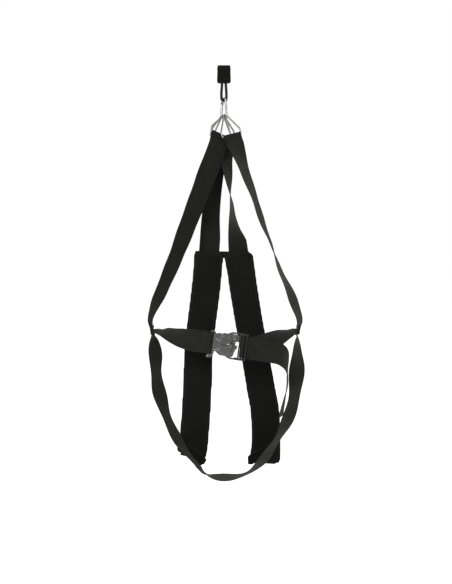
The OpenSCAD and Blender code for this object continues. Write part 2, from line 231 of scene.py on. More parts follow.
@dataclass(frozen=True)
class WebbingFinish:
    """Flat-woven strap: ribs along it, crossed by slanting picks."""

    name: str
    colour: tuple[float, float, float]
    ribs: int = 34
    picks: float = 42.0
    roughness: float = 0.84
    sheen: float = 0.06

    def material(self) -> bpy.types.Material:
        """Makes the material.

        Returns:
            The material.
        """
        sketch = NodeSketch(self.name)
        across, along, _ = sketch.coordinates(uv=True)
        rib = sketch.wave(across, self.ribs)
        slant = sketch.math("PINGPONG", sketch.math("MULTIPLY", across, self.ribs), 1.0)
        pick = sketch.wave(along, self.picks, sketch.math("MULTIPLY", slant, math.pi))
        weave = sketch.math("ADD", sketch.math("MULTIPLY", rib, 0.45), sketch.math("MULTIPLY", pick, 0.55))
        share = sketch.math("MULTIPLY_ADD", weave, 0.22, 0.4)
        worn = sketch.math("MULTIPLY_ADD", sketch.noise(26.0), 0.9, -0.4)
        sketch.set(
            Base_Color=sketch.tint(sketch.math("ADD", share, worn), self.colour, 0.62, 1.75),
            Roughness=sketch.vary(sketch.noise(60.0), self.roughness, 0.16),
            Sheen_Weight=self.sheen,
            Sheen_Roughness=0.45,
            Specular_IOR_Level=0.05,
        )
        sketch.bump(weave, 0.00022, 0.75)
        return sketch.material


@dataclass(frozen=True)
class PadClothFinish:
    """Plain-woven cover cloth with a soft nap."""

    name: str
    colour: tuple[float, float, float]
    threads: float = 820.0
    roughness: float = 0.88

    def material(self) -> bpy.types.Material:
        """Makes the material.

        Returns:
            The material.
        """
        sketch = NodeSketch(self.name)
        x, _, z = sketch.coordinates(uv=False)
        weave = sketch.math("MULTIPLY", sketch.wave(x, self.threads), sketch.wave(z, self.threads))
        nap = sketch.noise(900.0, 2.0)
        patch = sketch.math("MULTIPLY_ADD", sketch.noise(14.0), 0.8, -0.2)
        share = sketch.math("ADD", sketch.math("MULTIPLY", nap, 0.35), patch)
        sketch.set(
            Base_Color=sketch.tint(share, self.colour, 0.6, 1.7),
            Roughness=sketch.vary(nap, self.roughness, 0.12),
            Sheen_Weight=0.04,
            Sheen_Roughness=0.5,
            Specular_IOR_Level=0.04,
        )
        sketch.bump(sketch.math("ADD", weave, sketch.math("MULTIPLY", nap, 0.8)), 0.00018, 0.7)
        return sketch.material


@dataclass(frozen=True)
class CordFinish:
    """Braided cord: two sets of slanting strands."""

    name: str
    colour: tuple[float, float, float]
    strands: int = 8
    pitch: float = 150.0
    roughness: float = 0.675

    def material(self) -> bpy.types.Material:
        """Makes the material.

        Returns:
            The material.
        """
        sketch = NodeSketch(self.name)
        around, along, _ = sketch.coordinates(uv=True)
        turn = sketch.math("MULTIPLY", around, 2 * math.pi * self.strands)
        right = sketch.wave(along, self.pitch, turn)
        left = sketch.wave(along, self.pitch, sketch.math("MULTIPLY", turn, -1.0))
        braid = sketch.math("MAXIMUM", right, left)
        sketch.set(
            Base_Color=sketch.tint(sketch.math("MULTIPLY_ADD", braid, 0.4, 0.4), self.colour, 0.5, 1.8),
            Roughness=sketch.vary(sketch.noise(300.0), self.roughness, 0.15),
            Sheen_Weight=0.05,
            Specular_IOR_Level=0.1,
        )
        sketch.bump(braid, 0.00035, 0.8)
        return sketch.material


@dataclass(frozen=True)
class SteelFinish:
    """Plated steel wire with fine handling marks."""

    name: str
    colour: tuple[float, float, float]
    roughness: float = 0.2

    def material(self) -> bpy.types.Material:
        """Makes the material.

        Returns:
            The material.
        """
        sketch = NodeSketch(self.name)
        marks = sketch.noise(700.0, 5.0)
        cloud = sketch.noise(90.0)
        sketch.set(
            Base_Color=sketch.tint(cloud, self.colour, 0.72, 1.0),
            Metallic=1.0,
            Roughness=sketch.vary(marks, self.roughness, 0.1),
        )
        sketch.bump(marks, 0.00002, 0.4)
        return sketch.material


@dataclass(frozen=True)
class MouldedFinish:
    """Moulded plastic with a faint spark-eroded grain."""

    name: str
    colour: tuple[float, float, float]
    roughness: float
    coat: float = 0.0
    gloss: float = 0.5

    def material(self) -> bpy.types.Material:
        """Makes the material.

        Returns:
            The material.
        """
        sketch = NodeSketch(self.name)
        grain = sketch.noise(1500.0, 4.0)
        cloud = sketch.noise(60.0)
        sketch.set(
            Base_Color=sketch.tint(cloud, self.colour, 0.8, 1.2),
            Roughness=sketch.vary(grain, self.roughness, 0.14),
            Specular_IOR_Level=self.gloss,
            Coat_Weight=self.coat,
            Coat_Roughness=0.2,
        )
        sketch.bump(grain, 0.00003, 0.5)
        return sketch.material


@dataclass(frozen=True)
class ThreadFinish:
    """Twisted sewing thread."""

    name: str
    colour: tuple[float, float, float]

    def material(self) -> bpy.types.Material:
        """Makes the material.

        Returns:
            The material.
        """
        sketch = NodeSketch(self.name)
        x, y, z = sketch.coordinates(uv=False)
        ply = sketch.wave(sketch.math("ADD", sketch.math("ADD", x, y), z), 900.0)
        sketch.set(
            Base_Color=sketch.tint(sketch.math("MULTIPLY_ADD", ply, 0.4, 0.5), self.colour, 0.7, 1.4),
            Roughness=0.6,
            Sheen_Weight=0.03,
            Specular_IOR_Level=0.15,
        )
        sketch.bump(ply, 0.00008, 0.6)
        return sketch.material


class Palette:
    """The harness's finishes, each made once."""

    def __init__(self) -> None:
        """Makes every material."""
        self.webbing = WebbingFinish("black_webbing", (0.0054, 0.0055, 0.0043)).material()
        self.belt_webbing = WebbingFinish("belt_webbing", (0.0066, 0.0067, 0.0053)).material()
        self.sleeve_webbing = WebbingFinish("sleeve_webbing", (0.0022, 0.0022, 0.0019), sheen=0.02).material()
        self.pad_cloth = PadClothFinish("pad_cloth", (0.0033, 0.0033, 0.0031)).material()
        self.cord = CordFinish("braided_cord", (0.0045, 0.0045, 0.0041)).material()
        self.steel = SteelFinish("plated_steel", (0.27, 0.27, 0.265), 0.32).material()
        self.spring_steel = SteelFinish("spring_steel", (0.2, 0.2, 0.2), 0.26).material()
        self.moulded = MouldedFinish("black_moulding", (0.004, 0.004, 0.004), 0.3, 0.0, 0.22).material()
        self.buckle = MouldedFinish("grey_moulding", (0.015, 0.015, 0.0143), 0.27, 0.3, 0.5).material()
        self.thread = ThreadFinish("dark_thread", (0.010, 0.010, 0.0088)).material()


# ---- meshes ----------------------------------------------------------------------


@dataclass
class MeshSketch:
    """Points and faces on their way to a mesh."""

    points: list = field(default_factory=list)
    faces: list = field(default_factory=list)
    uvs: list = field(default_factory=list)

    def rings(self, grid: np.ndarray, uv: np.ndarray, caps: bool = True, joined: bool = False) -> None:
        """Skins a row of closed rings.

        Args:
            grid: Points, ring by ring, shape (rings, points, 3).
            uv: Surface coordinates, shape (rings, points + 1, 2).
            caps: Closes the first and last ring.
            joined: Joins the last ring to the first.
        """
        base = len(self.points)
        count, around = grid.shape[:2]
        self.points += [tuple(p) for p in grid.reshape(-1, 3)]
        for i in range(count if joined else count - 1):
            j = (i + 1) % count
            last = j if j else count - 1
            low, high = base + i * around, base + j * around
            for k in range(around):
                n = (k + 1) % around
                self.faces.append((low + k, low + n, high + n, high + k))
                self.uvs += [tuple(uv[i, k]), tuple(uv[i, k + 1]), tuple(uv[last, k + 1]), tuple(uv[last, k])]
        if caps and not joined:
            for i in (0, count - 1):
                self.faces.append(tuple(base + i * around + k for k in range(around)))
                self.uvs += [tuple(uv[i, k]) for k in range(around)]

    def build(self, name: str, sharp: float = 40.0) -> bpy.types.Object:
        """Makes the object.

        Args:
            name: The piece's name.
            sharp: Angle, in degrees, from which an edge stays sharp.

        Returns:
            The new object, linked to the scene.
        """
        mesh = bpy.data.meshes.new(name)
        mesh.from_pydata(self.points, [], self.faces)
        layer = mesh.uv_layers.new(name="Weave")
        if len(self.uvs) == len(layer.data):
            layer.data.foreach_set("uv", np.array(self.uvs, dtype=np.float32).ravel())
        return finish_mesh(mesh, name, sharp)


def finish_mesh(mesh: bpy.types.Mesh, name: str, sharp: float = 40.0) -> bpy.types.Object:
    """Turns a mesh's faces outwards, smooths it and links it.

    Args:
        mesh: The mesh.
        name: The piece's name.
        sharp: Angle, in degrees, from which an edge stays sharp.

    Returns:
        The new object.
    """
    work = bmesh.new()
    work.from_mesh(mesh)
    bmesh.ops.recalc_face_normals(work, faces=work.faces)
    work.to_mesh(mesh)
    work.free()
    mesh.polygons.foreach_set("use_smooth", [True] * len(mesh.polygons))
    mesh.set_sharp_from_angle(angle=math.radians(sharp))
    thing = bpy.data.objects.new(name, mesh)
    bpy.context.scene.collection.objects.link(thing)
    return thing


def apply_modifiers(thing: bpy.types.Object) -> None:
    """Bakes an object's modifiers into its mesh.

    Args:
        thing: The object.
    """
    graph = bpy.context.evaluated_depsgraph_get()
    mesh = bpy.data.meshes.new_from_object(thing.evaluated_get(graph), depsgraph=graph)
    thing.modifiers.clear()
    thing.data = mesh


def dress(
    thing: bpy.types.Object, body: Body, finish: bpy.types.Material, slot: str, *stands_for: str
) -> bpy.types.Object:
    """Gives a piece its finish and its body.

    Args:
        thing: The piece.
        body: Body that it moves with.
        finish: Its material.
        slot: The record's material slot; not used.
        stands_for: CAD nodes that it takes the place of.

    Returns:
        The piece.
    """
    thing.data.materials.clear()
    thing.data.materials.append(finish)
    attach(thing, body.value if isinstance(body, Body) else body)
    if stands_for:
        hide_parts(*stands_for)
    log.info("%s: %d faces", thing.name, len(thing.data.polygons))
    return thing


def unit(v: np.ndarray) -> np.ndarray:
    """Scales vectors to length 1."""
    return v / np.maximum(np.linalg.norm(v, axis=-1, keepdims=True), 1e-12)


def spline(stations: np.ndarray, steps: int = 16) -> np.ndarray:
    """Runs a smooth curve through stations.

    Args:
        stations: Rows of numbers, the first three a place.
        steps: Samples per stretch.

    Returns:
        The samples, with as many columns.
    """
    p = np.vstack([2 * stations[:1] - stations[1:2], stations, 2 * stations[-1:] - stations[-2:-1]])
    rows = []
    for i in range(1, len(p) - 2):
        a, b, c, d = p[i - 1 : i + 3]
        for t in np.arange(steps) / steps:
            square, cube = 2 * a - 5 * b + 4 * c - d, 3 * b - a - 3 * c + d
            rows.append(0.5 * (2 * b + (c - a) * t + square * t**2 + cube * t**3))
    return np.vstack([rows, stations[-1:]])


class Ribbon:
    """The run of a strap: its middle, and the ways that it is wide and thick."""

    def __init__(self, middle: np.ndarray, across: np.ndarray, step: float = 3.0) -> None:
        """Spaces a run evenly.

        Args:
            middle: Places along it, in millimetres.
            across: The way it is wide at each.
            step: Distance between rings, in millimetres.
        """
        gaps = np.linalg.norm(np.diff(middle, axis=0), axis=1)
        keep = np.concatenate([[True], gaps > 1e-6])
        middle, across = middle[keep], across[keep]
        run = np.concatenate([[0], np.cumsum(np.linalg.norm(np.diff(middle, axis=0), axis=1))])
        self.length = float(run[-1])
        count = max(4, int(self.length / step) + 1)
        self.run = np.linspace(0, self.length, count)
        self.middle = np.stack([np.interp(self.run, run, middle[:, i]) for i in range(3)], 1)
        self.across = np.stack([np.interp(self.run, run, across[:, i]) for i in range(3)], 1)
        self.square()

    def square(self) -> None:
        """Works out the run's directions, each square to the others."""
        self.along = unit(np.gradient(self.middle, axis=0))
        dot = np.sum(self.across * self.along, 1, keepdims=True)
        self.across = unit(self.across - dot * self.along)
        self.through = unit(np.cross(self.across, self.along))

    def soften(self, start: float, end: float, times: int = 12) -> "Ribbon":
        """Smooths a stretch of the run.

        Args:
            start: Where it begins, in millimetres.
            end: Where it ends.
            times: Rounds of smoothing.

        Returns:
            The ribbon itself.
        """
        inside = (self.run > start) & (self.run < end)
        inside[0] = inside[-1] = False
        for _ in range(times):
            for rows in (self.middle, self.across):
                mean = 0.5 * rows[1:-1] + 0.25 * (rows[:-2] + rows[2:])
                rows[1:-1] = np.where(inside[1:-1, None], mean, rows[1:-1])
        self.square()
        return self

    def drape(self, amount: float, length: float, phase: float, twist: float = 0.0) -> "Ribbon":
        """Lets the run wander slightly from flat, as limp webbing does.

        Args:
            amount: Height of the waves, in millimetres.
            length: Length of the longest.
            phase: Where they begin, in radians.
            twist: Largest turn about the run, in degrees.

        Returns:
            The ribbon itself.
        """
        fade = np.clip(np.minimum(self.run, self.length - self.run) / 60, 0, 1)
        sway = np.sin(2 * math.pi * self.run / length + phase)
        sway = sway + 0.4 * np.sin(5.1 * self.run / length + 2 * phase)
        self.middle += (amount * fade * sway)[:, None] * self.through
        roll = math.radians(twist) * fade * np.sin(2 * math.pi * self.run / (0.47 * length) + 3 * phase)
        self.across = np.cos(roll)[:, None] * self.across + np.sin(roll)[:, None] * self.through
        self.square()
        return self

    def at(self, run: float, across: float, through: float) -> np.ndarray:
        """A place on or over the strap, in metres.

        Args:
            run: Distance along it, in millimetres.
            across: Distance from its middle line.
            through: Distance from its middle plane.

        Returns:
            The place.
        """
        spot = [
            np.array([np.interp(run, self.run, rows[:, i]) for i in range(3)])
            for rows in (self.middle, self.across, self.through)
        ]
        return MM * (spot[0] + across * spot[1] + through * spot[2])

    def nearest(self, z: float, after: float = 0.0) -> float:
        """Distance along the run at which it first comes down to a height.

        Args:
            z: Height, in millimetres.
            after: Where to start looking.

        Returns:
            The distance.
        """
        inside = np.where((self.run >= after) & (self.middle[:, 2] <= z))[0]
        return float(self.run[inside[0]]) if len(inside) else self.length

    def skin(self, section: np.ndarray, width: float, cup: float = 0.0, phase: float = 0.0) -> MeshSketch:
        """Sweeps a section along the run.

        Args:
            section: Points across and through, in millimetres.
            width: Width that the weave repeats over.
            cup: Height that the edges lift and sink by.
            phase: Where that begins, in radians.

        Returns:
            The mesh so far.
        """
        a, h = section[:, 0], section[:, 1]
        lift = cup * np.sin(self.run / 21 + phase)[:, None] * (2 * a / width)[None] ** 2
        grid = (
            self.middle[:, None]
            + a[None, :, None] * self.across[:, None]
            + (h[None] + lift)[:, :, None] * self.through[:, None]
        )
        around = np.append(a, a[0]) / width + 0.5
        uv = np.stack(np.broadcast_arrays(around[None], (self.run / width)[:, None]), 2)
        sketch = MeshSketch()
        sketch.rings(grid * MM, uv)
        return sketch


def route(stations: list, behind: float = 0.0, roll: float = 0.0) -> tuple:
    """Follows a hanging route.

    Args:
        stations: Rows of x, y, z in millimetres and the roll in degrees.
        behind: Distance to stay behind it.
        roll: Added to the roll.

    Returns:
        Places and the ways that the strap is wide there.
    """
    p = spline(np.array(stations, float))
    t = unit(np.gradient(p[:, :3], axis=0))
    u = unit(np.stack([-t[:, 2], np.zeros(len(t)), t[:, 0]], 1))
    v = np.cross(t, u)
    angle = np.radians(p[:, 3:4])
    w = np.cos(angle) * u + np.sin(angle) * v
    shift = np.stack([np.sin(angle[:, 0]), np.cos(angle[:, 0]), np.zeros(len(t))], 1)
    turn = np.radians(roll)
    w = math.cos(turn) * w + math.sin(turn) * np.cross(t, w)
    return p[:, :3] + behind * shift, w


def webbing_section(width: float, thickness: float) -> np.ndarray:
    """Outline of webbing: flat faces between rounded selvedges.

    Args:
        width: In millimetres.
        thickness: In millimetres.

    Returns:
        Points across and through.
    """
    reach = np.array([-1, -0.988, -0.96, -0.92, -0.88, -0.6, -0.3, 0, 0.3, 0.6, 0.88, 0.92, 0.96, 0.988, 1])
    rise = np.array([0, 0.72, 1, 0.98, 0.86, 0.88, 0.9, 0.9, 0.9, 0.88, 0.86, 0.98, 1, 0.72, 0])
    front = np.stack([reach * width / 2, -rise * thickness / 2], 1)
    back = np.stack([reach * width / 2, rise * thickness / 2], 1)[1:-1][::-1]
    return np.vstack([front, back])


class Needlework:
    """Sewing on one body: every stitch a short raised thread."""

    def __init__(self, pitch: float = 3.6, thread: float = 0.42) -> None:
        """Starts with no stitches.

        Args:
            pitch: Length of a stitch and its gap, in millimetres.
            thread: Radius of the thread.
        """
        self.pitch = pitch
        self.thread = thread
        self.sketch = MeshSketch()

    def stitch(self, start: np.ndarray, end: np.ndarray) -> None:
        """Lays one stitch.

        Args:
            start: Where the needle came up, in metres.
            end: Where it went down.
        """
        t = unit(end - start)
        side = unit(np.cross(t, [0.31, 0.52, 0.79]))
        up = np.cross(side, t)
        shape = [(0.0, 0.3), (0.15, 0.85), (0.5, 1.0), (0.85, 0.85), (1.0, 0.3)]
        rings = []
        turns = np.arange(6) * math.pi / 3
        for share, swell in shape:
            middle = start + share * (end - start)
            r = self.thread * MM * swell
            rings.append([middle + r * (math.cos(g) * side + math.sin(g) * up) for g in turns])
        self.sketch.rings(np.array(rings), np.zeros((5, 7, 2)))

    def seam(self, ribbon: Ribbon, corners: list, side: Side, lift: float) -> None:
        """Sews along a line on a strap.

        Args:
            ribbon: The strap's run.
            corners: Distances along and across, in millimetres.
            side: Face that it shows on.
            lift: Height of the thread over the middle plane.
        """
        for (s0, a0), (s1, a1) in zip(corners, corners[1:]):
            length = math.hypot(s1 - s0, a1 - a0)
            count = max(1, round(length / self.pitch))
            for i in range(count):
                low, high = (i + 0.12) / count, (i + 0.88) / count
                self.stitch(
                    ribbon.at(s0 + low * (s1 - s0), a0 + low * (a1 - a0), side.value * lift),
                    ribbon.at(s0 + high * (s1 - s0), a0 + high * (a1 - a0), side.value * lift),
                )

    def box(
        self, ribbon: Ribbon, start: float, end: float, half: float, side: Side, lift: float = 1.02
    ) -> None:
        """Sews a crossed box, which holds two layers together.

        Args:
            ribbon: The strap's run.
            start: Where the box begins, in millimetres.
            end: Where it ends.
            half: Half its width.
            side: Face that it shows on.
            lift: Height of the thread over the middle plane.
        """
        frame_line = [(start, -half), (start, half), (end, half), (end, -half), (start, -half)]
        self.seam(ribbon, frame_line, side, lift)
        self.seam(ribbon, [(start, -half), (end, half)], side, lift)
        self.seam(ribbon, [(start, half), (end, -half)], side, lift)

    def tack(self, ribbon: Ribbon, run: float, half: float, side: Side, lift: float = 1.02) -> None:
        """Sews a dense bar across a strap.

        Args:
            ribbon: The strap's run.
            run: Distance along it, in millimetres.
            half: Half its width.
            side: Face that it shows on.
            lift: Height of the thread over the middle plane.
        """
        count = int(half / 0.9)
        for i in range(-count, count):
            a = half * i / count
            ends = (run - 1.3, run + 1.3) if i % 2 else (run + 1.3, run - 1.3)
            over = side.value * lift
            self.stitch(ribbon.at(ends[0], a, over), ribbon.at(ends[1], a + half / count, over))

    def finish(self, name: str, body: Body, palette: Palette) -> None:
        """Makes the sewing into one piece."""
        if self.sketch.faces:
            dress(self.sketch.build(name, 60.0), body, palette.thread, "webbing")


# ---- hardware over the straps ------------------------------------------------------


@dataclass
class RingHang:
    """How one triangle ring hangs on the hook."""

    node: str
    place: float
    lean_out: float
    lean_along: float
    pitch: float = 4.65
    turn: float = 34.0
    pivot_z: float = -122.5
    height: float = 46.0
    width: float = 56.0
    wire: float = 3.8

    def matrix(self) -> np.ndarray:
        """Place of the ring: origin on the hook's wire, x along its bar, z up."""
        m = (
            Matrix.Translation((0, 0, self.pivot_z))
            @ Matrix.Rotation(math.radians(self.turn), 4, "Z")
            @ Matrix.Translation((0, self.place * self.pitch, 0))
            @ Matrix.Rotation(math.radians(-self.lean_along), 4, "Y")
            @ Matrix.Rotation(math.radians(self.lean_out), 4, "X")
            @ Matrix.Translation((0, 0, -0.25))
        )
        return np.array(m)

    def point(self, x: float, y: float, z: float) -> np.ndarray:
        """Turns a place on the ring into a place in the frame, in millimetres."""
        return (self.matrix() @ np.array([x, y, z, 1.0]))[:3]

    def build(self, palette: Palette) -> None:
        """Makes the ring: bent wire, closed by a weld in the middle of its bar.

        Args:
            palette: The finishes.
        """
        half, shoulder = self.width / 2, -self.height + 12
        corners = [
            (0, 9.3, 5.0),
            (half, shoulder, 6.0),
            (half, -self.height, 2.6),
            (-half, -self.height, 2.6),
            (-half, shoulder, 6.0),
        ]
        path = rounded(corners)
        middle = np.array([self.point(x, 0, z) for x, z in path])
        weld = np.abs(np.array([x for x, _ in path])) < 1.3
        low = np.array([z for _, z in path]) < -self.height + 1
        swell = np.where(weld & low, 1.1, 1.04)
        side = unit(self.point(0, 1, 0) - self.point(0, 0, 0))
        thing = tube(middle, self.wire / 2 * swell, side, joined=True).build(self.node + "_wire")
        dress(thing, self.node, palette.steel, "polished_steel", self.node)


def rounded(corners: list, closed: bool = True, spacing: float = 1.5) -> list:
    """Rounds the corners of an outline.

    Args:
        corners: Rows of x, z and the corner's radius.
        closed: Whether the last corner runs on to the first.
        spacing: Distance between points on straight stretches.

    Returns:
        Points of the rounded outline.
    """
    n = len(corners)
    at = [np.array(c[:2], float) for c in corners]
    bends = []
    for i in range(n):
        if not closed and i in (0, n - 1):
            bends.append([at[i]])
            continue
        a, b = unit(at[i] - at[i - 1]), unit(at[(i + 1) % n] - at[i])
        swing = math.acos(max(-1.0, min(1.0, float(a @ b))))
        r = corners[i][2]
        reach = r * math.tan(swing / 2)
        sign = 1 if a[0] * b[1] - a[1] * b[0] > 0 else -1
        start = at[i] - a * reach
        centre = start + sign * r * np.array([-a[1], a[0]])
        first = math.atan2(*(start - centre)[::-1])
        count = max(3, int(swing * r / 0.7))
        angles = [first + sign * swing * k / count for k in range(count + 1)]
        bends.append([centre + r * np.array([math.cos(g), math.sin(g)]) for g in angles])
    points = []
    for i in range(n if closed else n - 1):
        points += bends[i]
        a, b = bends[i][-1], bends[(i + 1) % n][0]
        count = int(np.linalg.norm(b - a) / spacing)
        points += [a + (b - a) * k / count for k in range(1, count)]
    if not closed:
        points += bends[-1]
    return points


def tube(
    middle: np.ndarray, radius: object, side: np.ndarray, joined: bool = False, around: int = 20
) -> MeshSketch:
    """Round wire or cord along a line.

    Args:
        middle: Places in millimetres.
        radius: One radius, or one for each place.
        side: A way square to the line all along.
        joined: Whether it closes on itself.
        around: Points round it.

    Returns:
        The mesh so far.
    """
    if joined:
        t = unit(np.roll(middle, -1, 0) - np.roll(middle, 1, 0))
    else:
        t = unit(np.gradient(middle, axis=0))
    up = unit(np.cross(t, np.broadcast_to(side, t.shape)))
    flat = np.cross(up, t)
    g = np.arange(around) * 2 * math.pi / around
    r = np.broadcast_to(np.asarray(radius, float), (len(middle),))[:, None, None]
    rim = np.cos(g)[None, :, None] * flat[:, None] + np.sin(g)[None, :, None] * up[:, None]
    grid = middle[:, None] + r * rim
    run = np.concatenate([[0], np.cumsum(np.linalg.norm(np.diff(middle, axis=0), axis=1))]) * MM
    uv = np.stack(np.broadcast_arrays((np.arange(around + 1) / around)[None], run[:, None]), 2)
    sketch = MeshSketch()
    sketch.rings(grid * MM, uv, joined=joined)
    return sketch


def pillow(width: float, depth: float, count: int, powers: tuple) -> np.ndarray:
    """Outline of a rounded rectangle with slightly bowed sides.

    Args:
        width: In millimetres.
        depth: In millimetres.
        count: Points round it.
        powers: How square it is along its width and its depth, from 0, square, to 1, round.

    Returns:
        Points across and through.
    """
    g = (np.arange(count) + 0.5) * 2 * math.pi / count
    c, s = np.cos(g), np.sin(g)
    across = width / 2 * np.sign(c) * np.abs(c) ** powers[0]
    return np.stack([across, depth / 2 * np.sign(s) * np.abs(s) ** powers[1]], 1)


def hump(distance: np.ndarray, width: float) -> np.ndarray:
    """A smooth hump of height 1: its height at a distance from its middle."""
    return np.exp(-((distance / width) ** 2))


@dataclass
class Suspension:
    """Anchor block, the sleeve sewn round it, and the cord loop below."""

    sleeve_width: float = 33.0
    sleeve_depth: float = 22.0
    sleeve_height: float = 40.0
    block_width: float = 27.0
    block_depth: float = 17.0
    cord: float = 6.0
    cord_exit: float = 5.5
    cord_reach: float = 7.2
    turn: float = 34.0
    around: int = 56

    def ring(self, width: float, depth: float, z: float) -> np.ndarray:
        """One rounded-rectangle ring of the sleeve, in millimetres."""
        outline = pillow(width, depth, self.around, (0.34, 0.34))
        return np.column_stack([outline, np.full(self.around, z)])

    def build(self, palette: Palette) -> None:
        """Makes the three pieces.

        Args:
            palette: The finishes.
        """
        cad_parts["anchor_block"].data.materials.clear()
        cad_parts["anchor_block"].data.materials.append(palette.moulded)
        self.build_sleeve(palette)
        self.build_cord(palette)

    def build_sleeve(self, palette: Palette) -> None:
        """Makes the sleeve, a little wider towards its foot.

        Args:
            palette: The finishes.
        """
        w, d, h = self.sleeve_width, self.sleeve_depth, self.sleeve_height
        inner = (self.block_width + 0.2, self.block_depth + 0.2)
        rows = [(*inner, -3.0), (*inner, -0.6)]
        rows += [(w - 3.4, d - 2.6, 0.0), (w - 2.4, d - 1.8, -0.5), (w - 2.0, d - 1.4, -1.6)]
        rows += [(w - 2.0 + 2.0 * k / 8, d - 1.4 + 1.4 * k / 8, -3 - (h - 8) * k / 8) for k in range(9)]
        rows += [(w - 0.5, d - 0.5, -h + 3), (w - 2.2, d - 2, -h + 1.2), (w - 5.4, d - 5, -h + 0.2)]
        rows += [(w - 12, d - 10, -h), (w - 26, d - 18, -h + 0.1)]
        grid = np.array([self.ring(a, b, z) for a, b, z in rows])
        run = np.cumsum([0] + [max(abs(rows[i + 1][2] - rows[i][2]), 1.0) for i in range(len(rows) - 1)])
        count = self.around + 1
        uv = np.stack(np.broadcast_arrays((np.arange(count) / count * 2)[None], (run / 50)[:, None]), 2)
        sketch = MeshSketch()
        sketch.rings(grid * MM, uv, joined=False)
        sleeve = sketch.build("anchor_sleeve_cloth", 50)
        dress(sleeve, Body.SUSPENSION, palette.sleeve_webbing, "webbing", "anchor_sleeve")
        sewing = Needlework(3.2, 0.4)
        for z in (-4.5, -7.5, -33.5):
            ring = self.ring(w - 1.2 + 0.03 * -z, d - 0.7 + 0.02 * -z, z)
            ring = np.vstack([ring, ring[:1]])
            face = Ribbon(ring, np.tile([0.0, 0.0, 1.0], (count, 1)), 1.0)
            sewing.seam(face, [(0, 0), (face.length, 0)], Side.BACK, 0.12)
        sewing.finish("anchor_sleeve_sewing", Body.SUSPENSION, palette)

    def build_cord(self, palette: Palette) -> None:
        """Makes the cord loop along its taut route.

        Args:
            palette: The finishes.
        """
        low = -77.5 - (5 + self.cord) / 2 - 0.3
        top = -self.sleeve_height + 13.5
        x, y = self.cord_exit, self.cord_reach
        leg = [(-x, top, 0), (-x, -44, 30), (-y, -64, 30), (-y, low, 7)]
        corners = leg + [(-a, z, bend) for a, z, bend in reversed(leg)]
        path = rounded(corners, closed=False, spacing=1.2)
        c, s = math.cos(math.radians(self.turn)), math.sin(math.radians(self.turn))
        middle = np.array([[a * c, a * s, z] for a, z in path])
        cord = tube(middle, self.cord / 2 + 0.25, np.array([-s, c, 0.0])).build("cord_loop_braid")
        dress(cord, Body.SUSPENSION, palette.cord, "cord", "cord_loop")


class SpringHook:
    """The hook that the rings hang on, with its sprung gate: its solids are right as they are."""

    def build(self, palette: Palette) -> None:
        """Finishes the bent wire, the rivet and the gate's own pieces."""
        for node in ("hook_body", "gate_rivet", "hook_gate"):
            self.finish(node, palette.steel, "polished_steel")
        for node in ("gate_plunger", "gate_spring"):
            self.finish(node, palette.spring_steel, "spring_steel")

    def finish(self, node: str, steel: bpy.types.Material, slot: str) -> None:
        """Gives a CAD piece its steel.

        Args:
            node: The piece's node.
            steel: Its material.
            slot: The record's material slot; not used.
        """
        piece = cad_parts[node]
        piece.data.materials.clear()
        piece.data.materials.append(steel)


# ---- straps ---------------------------------------------------------------------------

# Routes: rows of x, y, z in millimetres, and the roll about the run in degrees.

FRONT_LEFT = [
    (-15, -18, -194, -34), (-28, -20, -230, -26), (-42, -22, -267, -27), (-56, -23, -305, -34),
    (-85, -26, -382, -41), (-114, -28, -458, -51), (-145, -29, -534, -59), (-163, -30, -572, -68),
    (-174, -30, -605, -80), (-171.5, -30, -627, -88), (-170.2, -30, -642, -90),
]
FRONT_RIGHT = [
    (29, -4, -194, -38), (41, -8, -228, -55), (55, -12, -266, -62), (69, -16, -305, -69),
    (93, -22, -381, -74), (109, -25, -420, -81), (122, -27, -458, -89), (136, -28, -496, -97),
    (153, -29, -534, -104), (167, -30, -572, -110), (179, -30, -605, -102),
    (177.5, -30, -627, -93), (176.2, -30, -642, -90),
]
REAR_LEFT = [
    (-13, 15, -195, -34), (-17, 22, -225, -36), (-26, 31, -295, -36), (-32, 40, -357, -29),
    (-34, 46.5, -412, -8),
]
REAR_RIGHT = [
    (4, 11, -195, -36), (6, 15, -224, -54), (11, 20, -262, -67), (15, 26, -300, -86),
    (19, 31, -329, -98), (21, 36, -358, -107), (26, 43, -392, -126), (33, 47, -420, -154),
]
LEFT_PAD = [
    (-36, 42, -441, 0), (-44, 48, -533, 0), (-54, 51, -612, 0), (-62, 52, -690, 0),
    (-65, 50, -769, 0), (-69, 40, -846, 0), (-74, 26, -908, -3), (-81, 17, -943, -7),
]
RIGHT_PAD = [
    (33, 42, -441, 18), (39, 44, -474, 18), (48, 48, -533, 18), (61, 51, -612, 18),
    (75, 52, -690, 18), (89, 50, -769, 15), (100, 41, -836, 8), (102, 28, -903, 3), (99, 17, -958, 0),
]
SEAT = [
    (-168, -30, -621, -90), (-168, -30, -642, -88), (-165, -30, -661, -69), (-161, -30, -695, -60),
    (-160, -30, -732, -60), (-156, -30, -770, -60), (-146, -29, -805, -65), (-133, -26, -843, -68),
    (-114, -23, -882, -75), (-88, -21, -923, -78), (-58, -19, -960, -90), (-44, -17, -974, -104),
    (-27, -15, -981, -116), (-6, -13, -985, -117), (20, -13, -984, -114), (47, -14, -977, -113),
    (70, -16, -964, -115), (94, -19, -939, -118), (118, -21, -906, -119), (137, -24, -875, -121),
    (154, -26, -838, -125), (165, -28, -800, -131), (170, -29, -762, -133), (173, -30, -719, -137),
    (174, -30, -681, -124), (174, -30, -660, -108), (174, -30, -642, -92), (174, -30, -621, -90),
]
LEFT_BELT = [
    (-165.9, -30, -645, -90), (-165.9, -30, -635, -90), (-164.5, -30, -631.3, -90),
    (-161, -30, -630.2, -89), (-152, -35, -632, -79), (-137, -44, -635, -64), (-114, -60, -643, -42),
    (-90, -76, -650, -21), (-68, -90, -654, -7),
]
